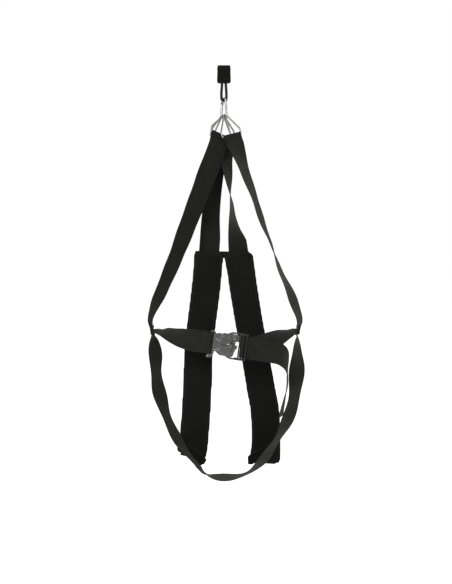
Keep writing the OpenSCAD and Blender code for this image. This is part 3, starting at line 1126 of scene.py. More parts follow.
RIGHT_BELT = [
    (66, -89.4, -672, 0), (80, -87, -669, -3), (95, -81, -663, -13), (112, -71.5, -654.5, -29),
    (130, -60, -645, -47), (144, -49, -638.5, -60), (158, -36, -633, -76), (167.5, -30, -629.4, -89),
    (170.7, -30, -630.6, -90), (171.9, -30, -635, -90), (171.9, -30, -645, -90),
]
TAIL = [
    (66, -92.6, -672, 0), (84, -95, -676, 0), (109, -95, -680, -2), (126, -93, -684, -14),
    (138, -88, -694, -42), (146, -81, -711, -72), (148, -75, -731, -87), (147, -71, -760, -88),
    (141, -69, -788, -82), (136, -67, -812, -78), (133, -66, -832, -76),
]
BRIDGE = [(-28, 52, -450, 0), (-12, 52.5, -450, 0), (-2, 56, -450, 0), (9, 60.3, -450, 0), (24, 56, -450, 0)]


# Creases: rows of the distance down the pad, the left and right ends across it, and the depth.
LEFT_CREASES = ((100.0, -35, 33, 4.2), (340.0, -30, 10, 0.8), (455.0, -20, 30, 1.0))
RIGHT_CREASES = ((150.0, -28, 14, 2.8), (412.0, -18, 28, 2.6), (300.0, -20, 30, 0.6))

# Hems: corners of the folded cloth, x and z.
LEFT_HEM = [
    (-103, -902), (-113, -919), (-111, -926), (-87, -937), (-60, -961), (-47, -956), (-41, -946), (-58, -925),
]
RIGHT_HEM = [(57, -939), (63, -933), (107, -907), (124, -912), (100, -940), (68, -957), (58, -957)]


@dataclass
class HangingStrap:
    """A strap that turns over a ring's bar and hangs from it."""

    node: str
    ring: RingHang
    stations: list
    pad: list | None = None
    roll: float = 0.0
    width: float = 50.0
    thickness: float = 2.0
    pad_back: float = 6.8
    sway: float = 0.5

    def ribbon(self) -> Ribbon:
        """Runs from the sewn end behind, over the bar and down to the foot.

        Returns:
            The strap's run.
        """
        radius = self.ring.wire / 2 + 0.15 + self.thickness / 2
        sewn = (self.thickness + 0.1) / 2
        legs = [(sewn, -30), (sewn, -22), (sewn, -16), ((radius + sewn) / 2, -9), (radius, -2)]
        turn = [(radius * math.cos(g), radius * math.sin(g)) for g in np.radians(np.arange(0, 181, 15))]
        down = [(-radius, -2), (-(radius + sewn) / 2, -9), (-sewn, -16), (-sewn, -24)]
        loop = np.array([self.ring.point(0, y, z - self.ring.height) for y, z in legs + turn + down])
        bar = unit(self.ring.point(1, 0, 0) - self.ring.point(0, 0, 0))
        middle, across = route(self.stations)
        if self.pad:
            back, wide = route(self.pad, self.pad_back, self.roll)
            wide = wide * (1.0 if float(wide[0] @ across[-1]) > 0 else -1.0)
            middle, across = np.vstack([middle, back[1:]]), np.vstack([across, wide[1:]])
        below = middle[:, 2] < loop[-1, 2] - 14
        breadth = np.vstack([np.tile(bar, (len(loop), 1)), across[below]])
        ribbon = Ribbon(np.vstack([loop, middle[below]]), breadth, 2.0)
        start = ribbon.nearest(loop[-1, 2] + 3, 45)
        return ribbon.soften(start, start + 60, 30)

    def build(self, palette: Palette, sewing: Needlework, phase: float) -> Ribbon:
        """Makes the strap and sews its loop.

        Args:
            palette: The finishes.
            sewing: Takes the strap's stitches.
            phase: Where its waves begin.

        Returns:
            The strap's run.
        """
        ribbon = self.ribbon()
        if not self.pad:
            ribbon.drape(self.sway, 170.0, phase, 1.5)
        section = webbing_section(self.width, self.thickness)
        cup = 0.0 if self.pad else 0.5
        strap = ribbon.skin(section, self.width, cup, phase).build(self.node + "_webbing")
        dress(strap, Body.HARNESS, palette.webbing, "webbing", self.node)
        top = ribbon.nearest(ribbon.middle[0, 2] + 14, 40)
        sewing.box(ribbon, top, top + 17, 19, Side.FRONT)
        sewing.box(ribbon, 3, 18, 19, Side.FRONT, 1.02)
        return ribbon


@dataclass
class Pad:
    """A padded strap: a foam core in a sewn cover, swollen by a cloth simulation."""

    name: str
    stations: list
    skew: float
    width: float = 75.0
    thickness: float = 11.0
    slack: float = 2.6
    spare: float = 1.8
    corners: tuple = (4.0, 4.0)
    creases: tuple = ()
    voxel: float = 0.0030
    pressure: float = 4.0
    frames: int = 20
    cap: float = 0.0022
    seam: float = 7.0
    hem: float = 9.0

    def ribbon(self) -> Ribbon:
        """The pad's run."""
        return Ribbon(*route(self.stations), 5.0)

    def trim(self, sketch: MeshSketch, section: np.ndarray, ribbon: Ribbon) -> None:
        """Slants the pad's foot and rounds the corners of its ends.

        Args:
            sketch: The swept pad.
            section: The outline that was swept.
            ribbon: The pad's run.
        """
        slant = math.tan(math.radians(self.skew))
        last = len(ribbon.run) - 1
        for i, run in enumerate(ribbon.run):
            share = (i / last) ** 12
            for k, a in enumerate(section[:, 0]):
                cut = self.corners[int(a > 0)]
                short = min(1.0, run / cut, (ribbon.length - run) / 4.0 + 0.2)
                arc = 1 - math.sqrt(max(0.0, 1 - (1 - short) ** 2))
                inwards = cut * arc * (abs(a) / (self.width / 2)) ** 3
                shift = slant * share * a * ribbon.along[i] - math.copysign(inwards, a) * ribbon.across[i]
                n = i * len(section) + k
                sketch.points[n] = tuple(np.array(sketch.points[n]) + MM * shift)

    def swell(self, thing: bpy.types.Object) -> None:
        """Inflates the cover with a cloth simulation, then keeps every point near its start.

        Args:
            thing: The pad.
        """
        rest = np.array([v.co for v in thing.data.vertices])
        cloth = thing.modifiers.new("swell", "CLOTH")
        cloth.settings.use_pressure = True
        cloth.settings.uniform_pressure_force = self.pressure
        cloth.settings.effector_weights.gravity = 0.0
        cloth.settings.quality = 4
        scene = bpy.context.scene
        for step in range(1, self.frames + 1):
            scene.frame_set(step)
        apply_modifiers(thing)
        scene.frame_set(1)
        moved = np.array([v.co for v in thing.data.vertices]) - rest
        size = np.linalg.norm(moved, axis=1, keepdims=True)
        moved *= np.minimum(1, self.cap / np.maximum(size, 1e-9))
        thing.data.vertices.foreach_set("co", (rest + moved).astype(np.float32).ravel())

    def groove(self, thing: bpy.types.Object, ribbon: Ribbon) -> None:
        """Draws the cover in along its seams and creases.

        Args:
            thing: The pad.
            ribbon: Its run.
        """
        places = np.array([v.co for v in thing.data.vertices]) / MM
        normals = np.array([v.normal for v in thing.data.vertices])
        gaps = np.linalg.norm(places[:, None] - ribbon.middle[None], axis=2)
        near = gaps.argmin(1)
        away = places - ribbon.middle[near]
        across = np.sum(away * ribbon.across[near], 1)
        run = ribbon.run[near] + np.sum(away * ribbon.along[near], 1)
        half = self.width / 2
        depth = 0.9 * hump(np.abs(across) - (half - self.seam), 1.8)
        for where, left, right, deep in self.creases:
            line = where + 0.18 * (across - left)
            span = np.clip((across - left) / 6, 0, 1) * np.clip((right - across) / 6, 0, 1)
            depth += deep * span * hump(run - line, 2.0)
            depth -= 0.5 * deep * span * hump(run - line - 7, 5.0)
        ends = np.minimum(run, ribbon.length - run)
        depth += 0.8 * hump(ends - self.hem, 2.2)
        depth += 0.3 * np.sin(run / 23 + across / 11) * np.sin(run / 31 - across / 19)
        moved = (places - depth[:, None] * normals) * MM
        thing.data.vertices.foreach_set("co", moved.astype(np.float32).ravel())
        thing.data.update()

    def build(self, palette: Palette, sewing: Needlework) -> None:
        """Makes the cover and its sewing.

        Args:
            palette: The finishes.
            sewing: Takes the stitches.
        """
        ribbon = self.ribbon()
        section = pillow(self.width + self.spare, self.thickness - self.slack, 28, (0.35, 0.3))
        sketch = ribbon.skin(section, self.width)
        self.trim(sketch, section, ribbon)
        pad = sketch.build(self.name + "_cloth")
        remesh = pad.modifiers.new("even", "REMESH")
        remesh.mode = "VOXEL"
        remesh.voxel_size = self.voxel
        apply_modifiers(pad)
        self.swell(pad)
        smooth = pad.modifiers.new("smooth", "CORRECTIVE_SMOOTH")
        smooth.factor, smooth.iterations, smooth.use_only_smooth = 0.5, 5, True
        divide = pad.modifiers.new("divide", "SUBSURF")
        divide.levels = divide.render_levels = 1
        apply_modifiers(pad)
        self.groove(pad, ribbon)
        pad.data.polygons.foreach_set("use_smooth", [True] * len(pad.data.polygons))
        self.sew(pad, ribbon, sewing)
        dress(pad, Body.HARNESS, palette.pad_cloth, "pad_cloth", self.name + "_cover", self.name + "_foam")

    def sew(self, pad: bpy.types.Object, ribbon: Ribbon, sewing: Needlework) -> None:
        """Sews down both edges of both faces, and across the ends.

        Args:
            pad: The pad.
            ribbon: Its run.
            sewing: Takes the stitches.
        """
        work = bmesh.new()
        work.from_mesh(pad.data)
        tree = BVHTree.FromBMesh(work)
        half = self.width / 2 - self.seam
        top, foot = self.hem, ribbon.length - self.hem
        lines = [[(s, a) for s in np.arange(top, foot, 3.8)] for a in (-half, half)]
        lines += [[(s, a) for a in np.arange(-half, half, 3.8)] for s in (top, foot - 1)]
        for line in lines:
            for first, second in zip(np.array(line), np.array(line[1:])):
                for side in Side:
                    ends = []
                    for share in (0.12, 0.88):
                        s, a = (1 - share) * first + share * second
                        over, inside = ribbon.at(s, a, side.value * 14), ribbon.at(s, a, 0)
                        hit = tree.ray_cast(Vector(over), Vector(inside - over).normalized(), 0.02)
                        if hit[0] is not None:
                            ends.append(np.array(hit[0]) + unit(over - inside) * 0.0002)
                    if len(ends) == 2:
                        sewing.stitch(*ends)
        work.free()


@dataclass
class Hem:
    """Cover cloth folded over the foot of a pad and sewn to the seat strap."""

    node: str
    outline: list
    back: float = 11.5
    depth: float = 6.0

    def build(self, palette: Palette) -> None:
        """Makes the folded cloth, soft at its edges.

        Args:
            palette: The finishes.
        """
        thing = slab(self.node + "_cloth", self.outline, self.depth - 0.3, 1.9, 4)
        thing.data.transform(Matrix.Translation((0, (self.back - self.depth / 2) * MM, 0)))
        ripple(thing, 0.35)
        dress(thing, Body.HARNESS, palette.pad_cloth, "pad_cloth", self.node)


def ripple(thing: bpy.types.Object, amount: float) -> None:
    """Wrinkles a cloth piece slightly along its normals.

    Args:
        thing: The piece.
        amount: Height, in millimetres.
    """
    for v in thing.data.vertices:
        x, y, z = v.co / MM
        v.co += v.normal * (MM * amount * math.sin(x / 5.3 + z / 9.1) * math.sin(z / 4.7 - y / 6.0))


def slab(
    name: str, outline: list, depth: float, soft: float, segments: int = 3, cuts: tuple = ()
) -> bpy.types.Object:
    """A flat piece in the XZ plane with rounded edges.

    Args:
        name: The piece's name.
        outline: Its corners, x and z in millimetres.
        depth: Its size along Y.
        soft: Radius of its edges.
        segments: Faces round an edge.
        cuts: Boxes to take out before rounding, as (low, high) corners.

    Returns:
        The object.
    """
    work = bmesh.new()
    ring = [work.verts.new((x * MM, -depth / 2 * MM, z * MM)) for x, z in outline]
    face = work.faces.new(ring)
    grown = bmesh.ops.extrude_face_region(work, geom=[face])
    moved = [g for g in grown["geom"] if isinstance(g, bmesh.types.BMVert)]
    bmesh.ops.translate(work, verts=moved, vec=(0, depth * MM, 0))
    mesh = bpy.data.meshes.new(name)
    bmesh.ops.recalc_face_normals(work, faces=work.faces)
    work.to_mesh(mesh)
    work.free()
    thing = bpy.data.objects.new(name, mesh)
    bpy.context.scene.collection.objects.link(thing)
    for low, high in cuts:
        cut_box(thing, low, high)
    bevel = thing.modifiers.new("soft", "BEVEL")
    bevel.width, bevel.segments, bevel.limit_method = soft * MM, segments, "ANGLE"
    bevel.angle_limit = math.radians(38)
    bevel.use_clamp_overlap = True
    apply_modifiers(thing)
    smooth_faces(thing)
    return thing


def smooth_faces(thing: bpy.types.Object) -> None:
    """Shades a piece smooth but for its sharp edges."""
    thing.data.polygons.foreach_set("use_smooth", [True] * len(thing.data.polygons))
    thing.data.set_sharp_from_angle(angle=math.radians(35.0))


def cut_box(thing: bpy.types.Object, low: tuple, high: tuple) -> None:
    """Cuts a box out of a mesh; its corners are in millimetres.

    Args:
        thing: The mesh.
        low: The box's low corner, in millimetres.
        high: Its high corner.
    """
    work = bmesh.new()
    size = [(b - a) * MM for a, b in zip(low, high)]
    middle = [(a + b) / 2 * MM for a, b in zip(low, high)]
    bmesh.ops.create_cube(work, size=1, matrix=Matrix.Translation(middle) @ Matrix.Diagonal((*size, 1)))
    mesh = bpy.data.meshes.new("cutter")
    work.to_mesh(mesh)
    work.free()
    cutter = bpy.data.objects.new("cutter", mesh)
    bpy.context.scene.collection.objects.link(cutter)
    cut = thing.modifiers.new("cut", "BOOLEAN")
    cut.object, cut.operation, cut.solver = cutter, "DIFFERENCE", "EXACT"
    apply_modifiers(thing)
    bpy.data.objects.remove(cutter)


# ---- buckle --------------------------------------------------------------------------------


@dataclass
class Buckle:
    """Side-release buckle: receptacle, frame with its adjuster, and two latch arms."""

    centre: tuple = (10.0, -95.0, -664.0)
    tilt: float = 8.0
    bar: float = -40.0
    grip: float = 31.5
    end: float = 41.0
    half: float = 31.5
    slot: float = 26.25
    thickness: float = 13.0
    wall: float = 1.2

    def matrix(self) -> Matrix:
        """Place of the buckle: x along the belt, -y to the front."""
        tilt = Matrix.Rotation(math.radians(self.tilt), 4, "Y")
        return Matrix.Translation([c * MM for c in self.centre]) @ tilt

    def point(self, a: float, y: float, b: float = 0.0) -> np.ndarray:
        """Turns a place on the buckle into a place in the frame, in millimetres."""
        return np.array(self.matrix() @ Vector((a * MM, y * MM, b * MM))) / MM

    def across(self) -> np.ndarray:
        """The way that the belt is wide at the buckle."""
        return unit(self.point(0, 0, 1) - self.point(0, 0, 0))

    def set_down(self, thing: bpy.types.Object) -> bpy.types.Object:
        """Moves a piece from the buckle's own axes into the frame."""
        thing.data.transform(self.matrix())
        return thing

    def join(self, name: str, parts: list) -> bpy.types.Object:
        """Puts meshes into one object.

        Args:
            name: The new piece's name.
            parts: The meshes, which are thrown away.

        Returns:
            The joined piece.
        """
        work = bmesh.new()
        for part in parts:
            work.from_mesh(part.data)
        mesh = bpy.data.meshes.new(name)
        work.to_mesh(mesh)
        work.free()
        for part in parts:
            bpy.data.objects.remove(part)
        thing = bpy.data.objects.new(name, mesh)
        bpy.context.scene.collection.objects.link(thing)
        smooth_faces(thing)
        return thing

    def rod(self, a: float, y: float, half: float, radius: float) -> bpy.types.Object:
        """A round bar across the buckle.

        Args:
            a: Its place along the belt, in millimetres.
            y: Its depth.
            half: Half its length.
            radius: Its radius.

        Returns:
            The bar.
        """
        z = np.linspace(-half, half, 9)
        middle = np.stack([np.full(9, a), np.full(9, y), z], 1)
        return tube(middle, radius, np.array([1.0, 0, 0]), around=24).build("rod", 50)

    def build(self, palette: Palette) -> None:
        """Makes every piece of the buckle.

        Args:
            palette: The finishes.
        """
        self.build_receptacle(palette)
        self.build_frame(palette)
        self.build_arm(palette, 1, Body.UPPER_LATCH, "upper_latch_arm")
        self.build_arm(palette, -1, Body.LOWER_LATCH, "lower_latch_arm")

    def receptacle_outline(self) -> list:
        """Its waisted outline: scalloped thumb edges, a stepped mouth above and a slanting one below.

        Returns:
            Its corners, along the belt and across it.
        """
        ear = [(-43.0, 0.0), (-43, 25.5), (-42.2, 28.3), (-39, 29.4), (-36, 29), (-33.2, 27.4), (-31.6, 25.4)]
        top = [(-30.4, 23.6), (-29.4, 23.2), (-27.9, 23.6), (-26, 24.8), (-23.5, 25.3), (-20.5, 24.9)]
        top += [(-18.6, 23.5), (-17.2, 23.3), (-15.5, 24.9), (-12.5, 26.6), (-9, 26.8), (-6.5, 25.8)]
        top += [(-5, 25), (-3.2, 26), (-0.5, 26.8), (9, 26.8)]
        mouth = [(14, 26.5), (17, 25.6), (22.6, 25), (22.8, 24), (22.8, 12), (16.4, 11.6), (16.2, 1.2)]
        mouth += [(21.5, 0.8), (21, -5), (17.5, -8.5), (15, -18), (13, -24.6)]
        low = [(9, -26.8), (4, -26.4), (-0.5, -25.8), (-3.9, -25.2), (-5.6, -23.6), (-7, -23), (-8.6, -24.2)]
        low += [(-12, -25.4), (-16.5, -25.2), (-20.5, -23.4), (-24, -20.6), (-27, -18.4), (-29, -17)]
        foot = [(-29.8, -17.6), (-30.4, -20), (-31.2, -25), (-33, -28.8), (-36.5, -31.8), (-41, -33.8)]
        foot += [(-45.5, -34.4), (-47.2, -33), (-46.8, -30.4), (-44, -28), (-43, -25)]
        return ear + top + mouth + low + foot

    def build_receptacle(self, palette: Palette) -> None:
        """Makes the receptacle with its strap slot, open sides and sunk thumb oval.

        Args:
            palette: The finishes.
        """
        h = self.half
        cuts = (
            ((-46, -9, -self.slot), (-35.75, 9, self.slot)),
            ((-23, -3.4, -19), (-20, 3.4, 19)),
            ((-20.5, -3.5, 3), (26, 3.5, h + 4)),
            ((-20.5, -3.5, -h - 4), (26, 3.5, -3)),
            ((4.2, -9, 1.2), (7.0, -2, 9.5)),
        )
        shell = slab("shell", self.receptacle_outline(), self.thickness - 2.6, 1.5, 3, cuts)
        remesh = shell.modifiers.new("even", "REMESH")
        remesh.mode = "VOXEL"
        remesh.voxel_size = 0.0006
        relax = shell.modifiers.new("relax", "SMOOTH")
        relax.factor, relax.iterations = 0.5, 3
        apply_modifiers(shell)
        self.crown(shell)
        bar = self.rod(self.bar, 0, self.slot + 1.5, 2.0)
        thing = self.join("buckle_receptacle_shell", [shell, bar])
        self.set_down(thing)
        dress(thing, Body.HARNESS, palette.buckle, "buckle_grey", "buckle_receptacle")

    def crown(self, shell: bpy.types.Object) -> None:
        """Swells both faces, and works the grip's ridges and thumb oval into the front one.

        Args:
            shell: The receptacle, in the buckle's own axes.
        """
        places = np.array([v.co for v in shell.data.vertices]) / MM
        a, y, b = places.T
        outer = np.clip((np.abs(y) - 3.6) / 1.4, 0, 1)
        front = (y < 0) * np.clip((a + 34) / 4, 0, 1)
        rise = 1.3 * (1 - (b / 34) ** 2) * np.clip(1 - ((a - 4) / 48) ** 2, 0, 1)
        # The thumb oval, sunk inside a raised rim
        oval = np.sqrt(((a + 7.5) / 12.5) ** 2 + ((b - 3.2) / 5.8) ** 2)
        rise += front * (-2.6 * np.exp(-((oval / 0.85) ** 4)) + 1.0 * hump(oval - 1.22, 0.2))
        # Lower shoulders along both scalloped edges
        waist = 18.5 + 3.4 * np.cos((a + 6) / 6.2)
        rise -= front * 1.7 / (1 + np.exp(-(np.abs(b) - waist) / 0.45)) * np.clip((14 - a) / 3, 0, 1)
        # A ridge that sweeps from the belt towards the lower edge
        sweep = b + 14.5 + 0.014 * (a + 24) ** 2 * np.sign(-24 - a) - 0.2 * (a + 24)
        rise += front * 0.9 * hump(sweep, 2.2) * np.clip((-12 - a) / 6, 0, 1)
        # The wavy groove and lip before the mouth
        lip = (a - 9.5) - 1.6 * np.cos(b / 5.5)
        rise -= front * 1.2 * hump(lip, 0.8)
        rise += front * 0.8 * hump(lip - 2.6, 1.1)
        # Short grip ribs beside the belt, and moulding dimples
        for k in range(4):
            reach = np.clip((13 - 2 * k - np.abs(b)) / 2, 0, 1)
            rise += front * 0.7 * hump(a + 28.5 - 3.1 * k, 0.8) * reach
        for spot_a, spot_b in ((-1.5, -17.5), (9.0, -19.5), (-1.5, 18.0)):
            rise -= front * 1.2 * np.exp(-(((a - spot_a) ** 2 + (b - spot_b) ** 2) / 1.6))
        places[:, 1] += np.sign(y) * outer * np.maximum(rise, -self.wall)
        shell.data.vertices.foreach_set("co", (places * MM).astype(np.float32).ravel())
        shell.data.update()

    def build_frame(self, palette: Palette) -> None:
        """Makes the frame: rails, bars, cross member and guide.

        Args:
            palette: The finishes.
        """
        h, near, tip = self.half, self.end - 1, self.end + 1.6
        parts = []
        for side in (-1, 1):
            low, high = sorted((side * self.slot, side * h))
            rail = [(22.5, low), (near, low), (tip, low + 1.0), (tip, high - 1.0), (near, high), (22.5, high)]
            parts.append(slab("rail", rail, 7.0, 1.0))
            root = [(17.2, side * 25.8), (23, side * 25.8), (23, side * 31.5), (17.2, side * 31.5)]
            if side > 0:
                root.reverse()
            parts.append(slab("root", root, 7.6, 1.4))
        parts.append(slab("cross", [(23.7, -30.5), (27.2, -30.5), (27.2, 30.5), (23.7, 30.5)], 6.0, 1.0))
        guide = [(-4, 11.2), (-2.5, 10), (25, 10), (25, 16), (-2.5, 16), (-4, 14.8)]
        parts.append(slab("guide", guide, 5.4, 0.9))
        parts.append(self.rod(self.grip, 0, h - 0.5, 2.0))
        parts.append(self.rod(self.end, 0, h - 0.5, 2.0))
        thing = self.set_down(self.join("buckle_frame_moulding", parts))
        dress(thing, Body.INSERT, palette.moulded, "moulded_black", "buckle_frame")

    def build_arm(self, palette: Palette, side: int, body: Body, node: str) -> None:
        """Makes a latch arm with its ribbed thumb pad.

        Args:
            palette: The finishes.
            side: 1 for the upper arm and -1 for the lower.
            body: The arm's body.
            node: The arm's CAD node.
        """
        outline = [
            (20, 31), (14, 31.5), (9, 31.5), (5, 30.8), (1, 29.1), (-2, 27.3), (-4.5, 26.2), (-8, 25.5),
            (-14, 25.5), (-17, 25), (-18.8, 24), (-19.6, 22.5), (-19.6, 19.6), (-14, 19.8), (-8, 20.3),
            (-3, 22.4), (2, 25.8), (8, 27.4), (14, 27.6), (20, 26.8),
        ]
        parts = [slab("arm", [(a, side * b) for a, b in outline][:: side], 6.0, 1.1)]
        for k in range(5):
            low, high = -17.65 + 2.1 * k, -16.75 + 2.1 * k
            rib = [(low, side * 24.2), (high, side * 24.2), (high, side * 25.95), (low, side * 25.95)]
            parts.append(slab("rib", rib, 5.2, 0.35, 2))
        thing = self.set_down(self.join(node + "_moulding", parts))
        dress(thing, body, palette.buckle, "moulded_black", node)


@dataclass
class Belt:
    """The belt's two halves, the webbing in the adjuster and the loose tail."""

    buckle: Buckle
    width: float = 50.0
    thickness: float = 2.0

    def piece(self, ribbon: Ribbon, name: str, cup: float, phase: float) -> bpy.types.Object:
        """Skins a ribbon with webbing."""
        section = webbing_section(self.width, self.thickness)
        return ribbon.skin(section, self.width, cup, phase).build(name)

    def build(self, palette: Palette, sewing: Needlework) -> None:
        """Makes the belt.

        Args:
            palette: The finishes.
            sewing: Takes the stitches.
        """
        self.build_left(palette, sewing)
        self.build_wrap(palette)
        self.build_right(palette)
        self.build_tail(palette)

    def build_left(self, palette: Palette, sewing: Needlework) -> None:
        """Makes the left half, sewn round the receptacle's bar.

        Args:
            palette: The finishes.
            sewing: Takes the stitches.
        """
        radius = 2 + 0.15 + self.thickness / 2
        sewn = (self.thickness + 0.1) / 2
        bar = self.buckle.bar
        legs = [(bar - 30, -sewn), (bar - 16, -sewn), (bar - 9, -(radius + sewn) / 2), (bar - 2, -radius)]
        angles = np.radians(np.arange(0, 181, 15))
        turn = [(bar + radius * math.sin(g), -radius * math.cos(g)) for g in angles]
        back = [(bar - 2, radius), (bar - 9, (radius + sewn) / 2), (bar - 16, sewn), (bar - 30, sewn)]
        loop = np.array([self.buckle.point(a, y) for a, y in legs + turn + back])
        middle, across = route(LEFT_BELT)
        breadth = np.vstack([across, np.tile(self.buckle.across(), (len(loop) - 1, 1))])
        ribbon = Ribbon(np.vstack([middle, loop[1:]]), breadth, 2.0)
        ribbon.soften(100, 150, 20)
        strap = self.piece(ribbon, "left_belt_webbing", 0.4, 0.7)
        dress(strap, Body.HARNESS, palette.belt_webbing, "webbing", "left_belt")
        end = ribbon.length - 2 * 30 - math.pi * radius
        shown = Side.BACK if ribbon.through[-60][1] < 0 else Side.FRONT
        sewing.box(ribbon, end + 2, end + 17, 19, shown)

    def build_wrap(self, palette: Palette) -> None:
        """Makes the webbing threaded round the adjuster's inner bar.

        Args:
            palette: The finishes.
        """
        mid = 2 + 0.15 + self.thickness / 2
        g = self.buckle.grip
        run = [(46.5, 5.5), (42, 5.5), (38.5, 5.5), (36, 5.1), (33.5, 4.2)]
        run += [(g + mid * math.cos(q), mid * math.sin(q)) for q in np.radians(np.arange(70, 351, 14))]
        run += [(34.7, 1.3), (36.1, 2.6), (38.2, 3.2), (42, 3.3), (46.5, 3.3)]
        middle = np.array([self.buckle.point(a, y) for a, y in run])
        ribbon = Ribbon(middle, np.tile(self.buckle.across(), (len(run), 1)), 0.9)
        strap = self.piece(ribbon, "adjuster_wrap", 0.0, 0.0)
        dress(strap, Body.INSERT, palette.belt_webbing, "webbing", "adjuster_webbing")

    def from_adjuster(self, stations: list, y: float) -> Ribbon:
        """A run that starts where the webbing leaves the adjuster.

        Args:
            stations: Route from there on.
            y: Depth at the adjuster.

        Returns:
            The run.
        """
        start = np.array([self.buckle.point(a, y) for a in (46.2, 49, 52)])
        middle, across = route(stations)
        ribbon = Ribbon(
            np.vstack([start, middle]), np.vstack([np.tile(self.buckle.across(), (3, 1)), across]), 2.5
        )
        return ribbon.soften(4, 40, 14)

    def build_right(self, palette: Palette) -> None:
        """Makes the right half, which runs from the adjuster to the harness.

        Args:
            palette: The finishes.
        """
        ribbon = self.from_adjuster(RIGHT_BELT, 5.5)
        strap = self.piece(ribbon, "right_belt_webbing", 0.2, 0.2)
        self.dress_blended(strap, palette, "right_belt")

    def build_tail(self, palette: Palette) -> None:
        """Makes the loose tail, its end turned over and tacked.

        Args:
            palette: The finishes.
        """
        ribbon = self.from_adjuster(TAIL, 3.3)
        strap = self.piece(ribbon, "belt_tail_webbing", 0.5, 1.4)
        self.dress_blended(strap, palette, "belt_tail")
        sewing = Needlework()
        sewing.tack(ribbon, ribbon.length - 9, 22, Side.FRONT)
        sewing.tack(ribbon, ribbon.length - 9, 22, Side.BACK)
        sewing.finish("belt_tail_sewing", Body.HARNESS, palette)

    def dress_blended(self, strap: bpy.types.Object, palette: Palette, node: str) -> None:
        """Dresses a strap that runs from the buckle's frame to the harness.

        Args:
            strap: The strap.
            palette: The finishes.
            node: The CAD node that it takes the place of.
        """
        strap.data.materials.append(palette.belt_webbing)
        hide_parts(node)
        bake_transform(strap)
        log.info("%s: %d faces", strap.name, len(strap.data.polygons))


# ---- the harness ---------------------------------------------------------------------------


@dataclass
class Harness:
    """Everything that hangs from the rings."""

    rings: dict
    buckle: Buckle = field(default_factory=Buckle)

    def straps(self) -> list:
        """The four straps that hang from the rings."""
        return [
            HangingStrap("front_left_riser", self.rings["front_left_ring"], FRONT_LEFT),
            HangingStrap("front_right_riser", self.rings["front_right_ring"], FRONT_RIGHT),
            HangingStrap("rear_left_strap", self.rings["rear_left_ring"], REAR_LEFT, LEFT_PAD),
            HangingStrap("rear_right_strap", self.rings["rear_right_ring"], REAR_RIGHT, RIGHT_PAD, -180.0),
        ]

    def pads(self) -> list:
        """The two padded straps."""
        return [
            Pad("left_pad", LEFT_PAD, 15.0, creases=LEFT_CREASES),
            Pad("right_pad", RIGHT_PAD, 0.0, corners=(4.0, 22.0), creases=RIGHT_CREASES),
        ]

    def build(self, palette: Palette) -> None:
        """Makes the straps, pads, hems, bridge, belt and buckle.

        Args:
            palette: The finishes.
        """
        sewing = Needlework()
        for i, strap in enumerate(self.straps()):
            ribbon = strap.build(palette, sewing, 1.3 * i)
            if not strap.pad:
                outside = Side.BACK if ribbon.through[-4][0] * ribbon.middle[-1][0] > 0 else Side.FRONT
                sewing.box(ribbon, ribbon.length - 20, ribbon.length - 3, 20, outside)
        seat = Ribbon(*route(SEAT), 3.0).drape(0.8, 230.0, 0.4, 6.0)
        strap = seat.skin(webbing_section(50, 2), 50, 0.4, 2.0).build("seat_strap_webbing")
        dress(strap, Body.HARNESS, palette.webbing, "webbing", "seat_strap")
        bridge = Ribbon(*route(BRIDGE), 2.0)
        strap = bridge.skin(webbing_section(16, 2), 50).build("pad_bridge_webbing")
        dress(strap, Body.HARNESS, palette.webbing, "webbing", "pad_bridge")
        for run in (5.0, bridge.length - 5.0):
            sewing.tack(bridge, run, 6.5, Side.BACK)
        for pad in self.pads():
            pad.build(palette, sewing)
        Hem("left_pad_hem", LEFT_HEM).build(palette)
        Hem("right_pad_hem", RIGHT_HEM).build(palette)
        Belt(self.buckle).build(palette, sewing)
        self.buckle.build(palette)
        sewing.finish("harness_sewing", Body.HARNESS, palette)


# ---- studio -----------------------------------------------------------------------------------


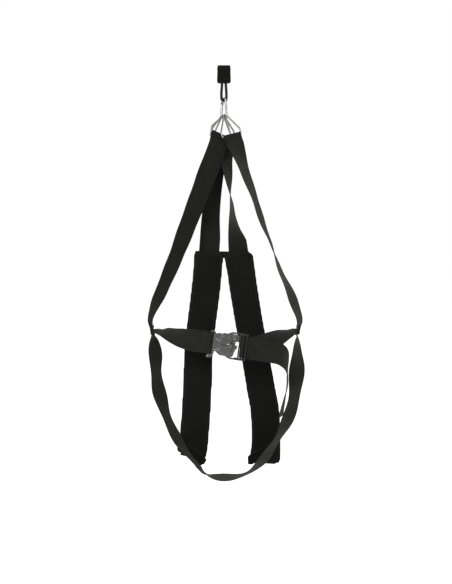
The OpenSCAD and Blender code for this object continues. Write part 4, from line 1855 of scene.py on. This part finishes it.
@dataclass
class Studio:
    """Pale floor in an even white room, soft lights and the camera."""

    floor_z: float = -1.30
    lens: float = 56.5
    reach: float = 60.0
    camera_place: tuple = (0.005, -2.2, -0.542)

    def build(self) -> None:
        """Makes the studio."""
        scene = bpy.context.scene
        scene.view_settings.view_transform = "Standard"
        self.build_floor()
        self.build_world()
        self.add_light("key", (-1.15, -2.7, 0.45), (0, 0, -0.6), 0.9, 92.0)
        self.add_light("fill", (2.2, -2.2, -0.2), (0, 0, -0.6), 1.0, 10.0)
        self.add_light("top", (0.3, 0.4, 1.6), (0, 0, -0.5), 1.0, 14.0)
        lens = bpy.data.cameras.new("camera")
        lens.lens = self.lens
        lens.sensor_width = 36.0
        camera = bpy.data.objects.new("camera", lens)
        camera.location = self.camera_place
        camera.rotation_euler = (math.radians(90), 0, 0)
        scene.collection.objects.link(camera)
        scene.camera = camera

    def build_floor(self) -> None:
        """Makes the floor, one wide sheet of paper."""
        lines = np.linspace(-self.reach, self.reach, 5)
        points = [(float(x), float(y), self.floor_z) for y in lines for x in lines]
        faces = [(5 * i + k, 5 * i + k + 1, 5 * i + k + 6, 5 * i + k + 5) for i in range(4) for k in range(4)]
        mesh = bpy.data.meshes.new("studio_floor")
        mesh.from_pydata(points, [], faces)
        floor = finish_mesh(mesh, "studio_floor", 80)
        sketch = NodeSketch("studio_paper")
        tone = sketch.blend(sketch.noise(3.0), (0.93, 0.93, 0.93), (0.97, 0.97, 0.97))
        glow = (1.0, 1.0, 1.0, 1.0)
        sketch.set(Base_Color=tone, Roughness=0.9, Emission_Color=glow, Emission_Strength=0.18)
        mesh.materials.append(sketch.material)

    def build_world(self) -> None:
        """Gives the room an even white light."""
        world = bpy.data.worlds.new("studio_room")
        world.use_nodes = True
        world.node_tree.nodes["Background"].inputs[0].default_value = (1, 1, 1, 1)
        world.node_tree.nodes["Background"].inputs[1].default_value = 1.0
        bpy.context.scene.world = world

    def add_light(self, name: str, place: tuple, target: tuple, size: float, power: float) -> None:
        """Adds a square soft light.

        Args:
            name: Its name.
            place: Where it stands, in metres.
            target: What it points at.
            size: Its side.
            power: In watts.
        """
        light = bpy.data.lights.new(name, "AREA")
        light.size = size
        light.energy = power
        lamp = bpy.data.objects.new(name, light)
        lamp.location = place
        lamp.rotation_euler = (Vector(target) - Vector(place)).to_track_quat("-Z", "Y").to_euler()
        bpy.context.scene.collection.objects.link(lamp)


def main() -> None:
    """Builds the studio, the hardware and the harness in order."""
    logging.basicConfig(level=logging.INFO, format="%(name)s: %(message)s")
    palette = Palette()
    Studio().build()
    hangs = [
        RingHang("front_right_ring", -1.5, -9.5, 17.0),
        RingHang("front_left_ring", -0.5, -3.2, -17.0),
        RingHang("rear_right_ring", 0.5, 3.2, 7.0),
        RingHang("rear_left_ring", 1.5, 9.5, -2.0),
    ]
    Suspension().build(palette)
    SpringHook().build(palette)
    for ring in hangs:
        ring.build(palette)
    Harness({ring.node: ring for ring in hangs}).build(palette)


if __name__ == "__main__":
    main()
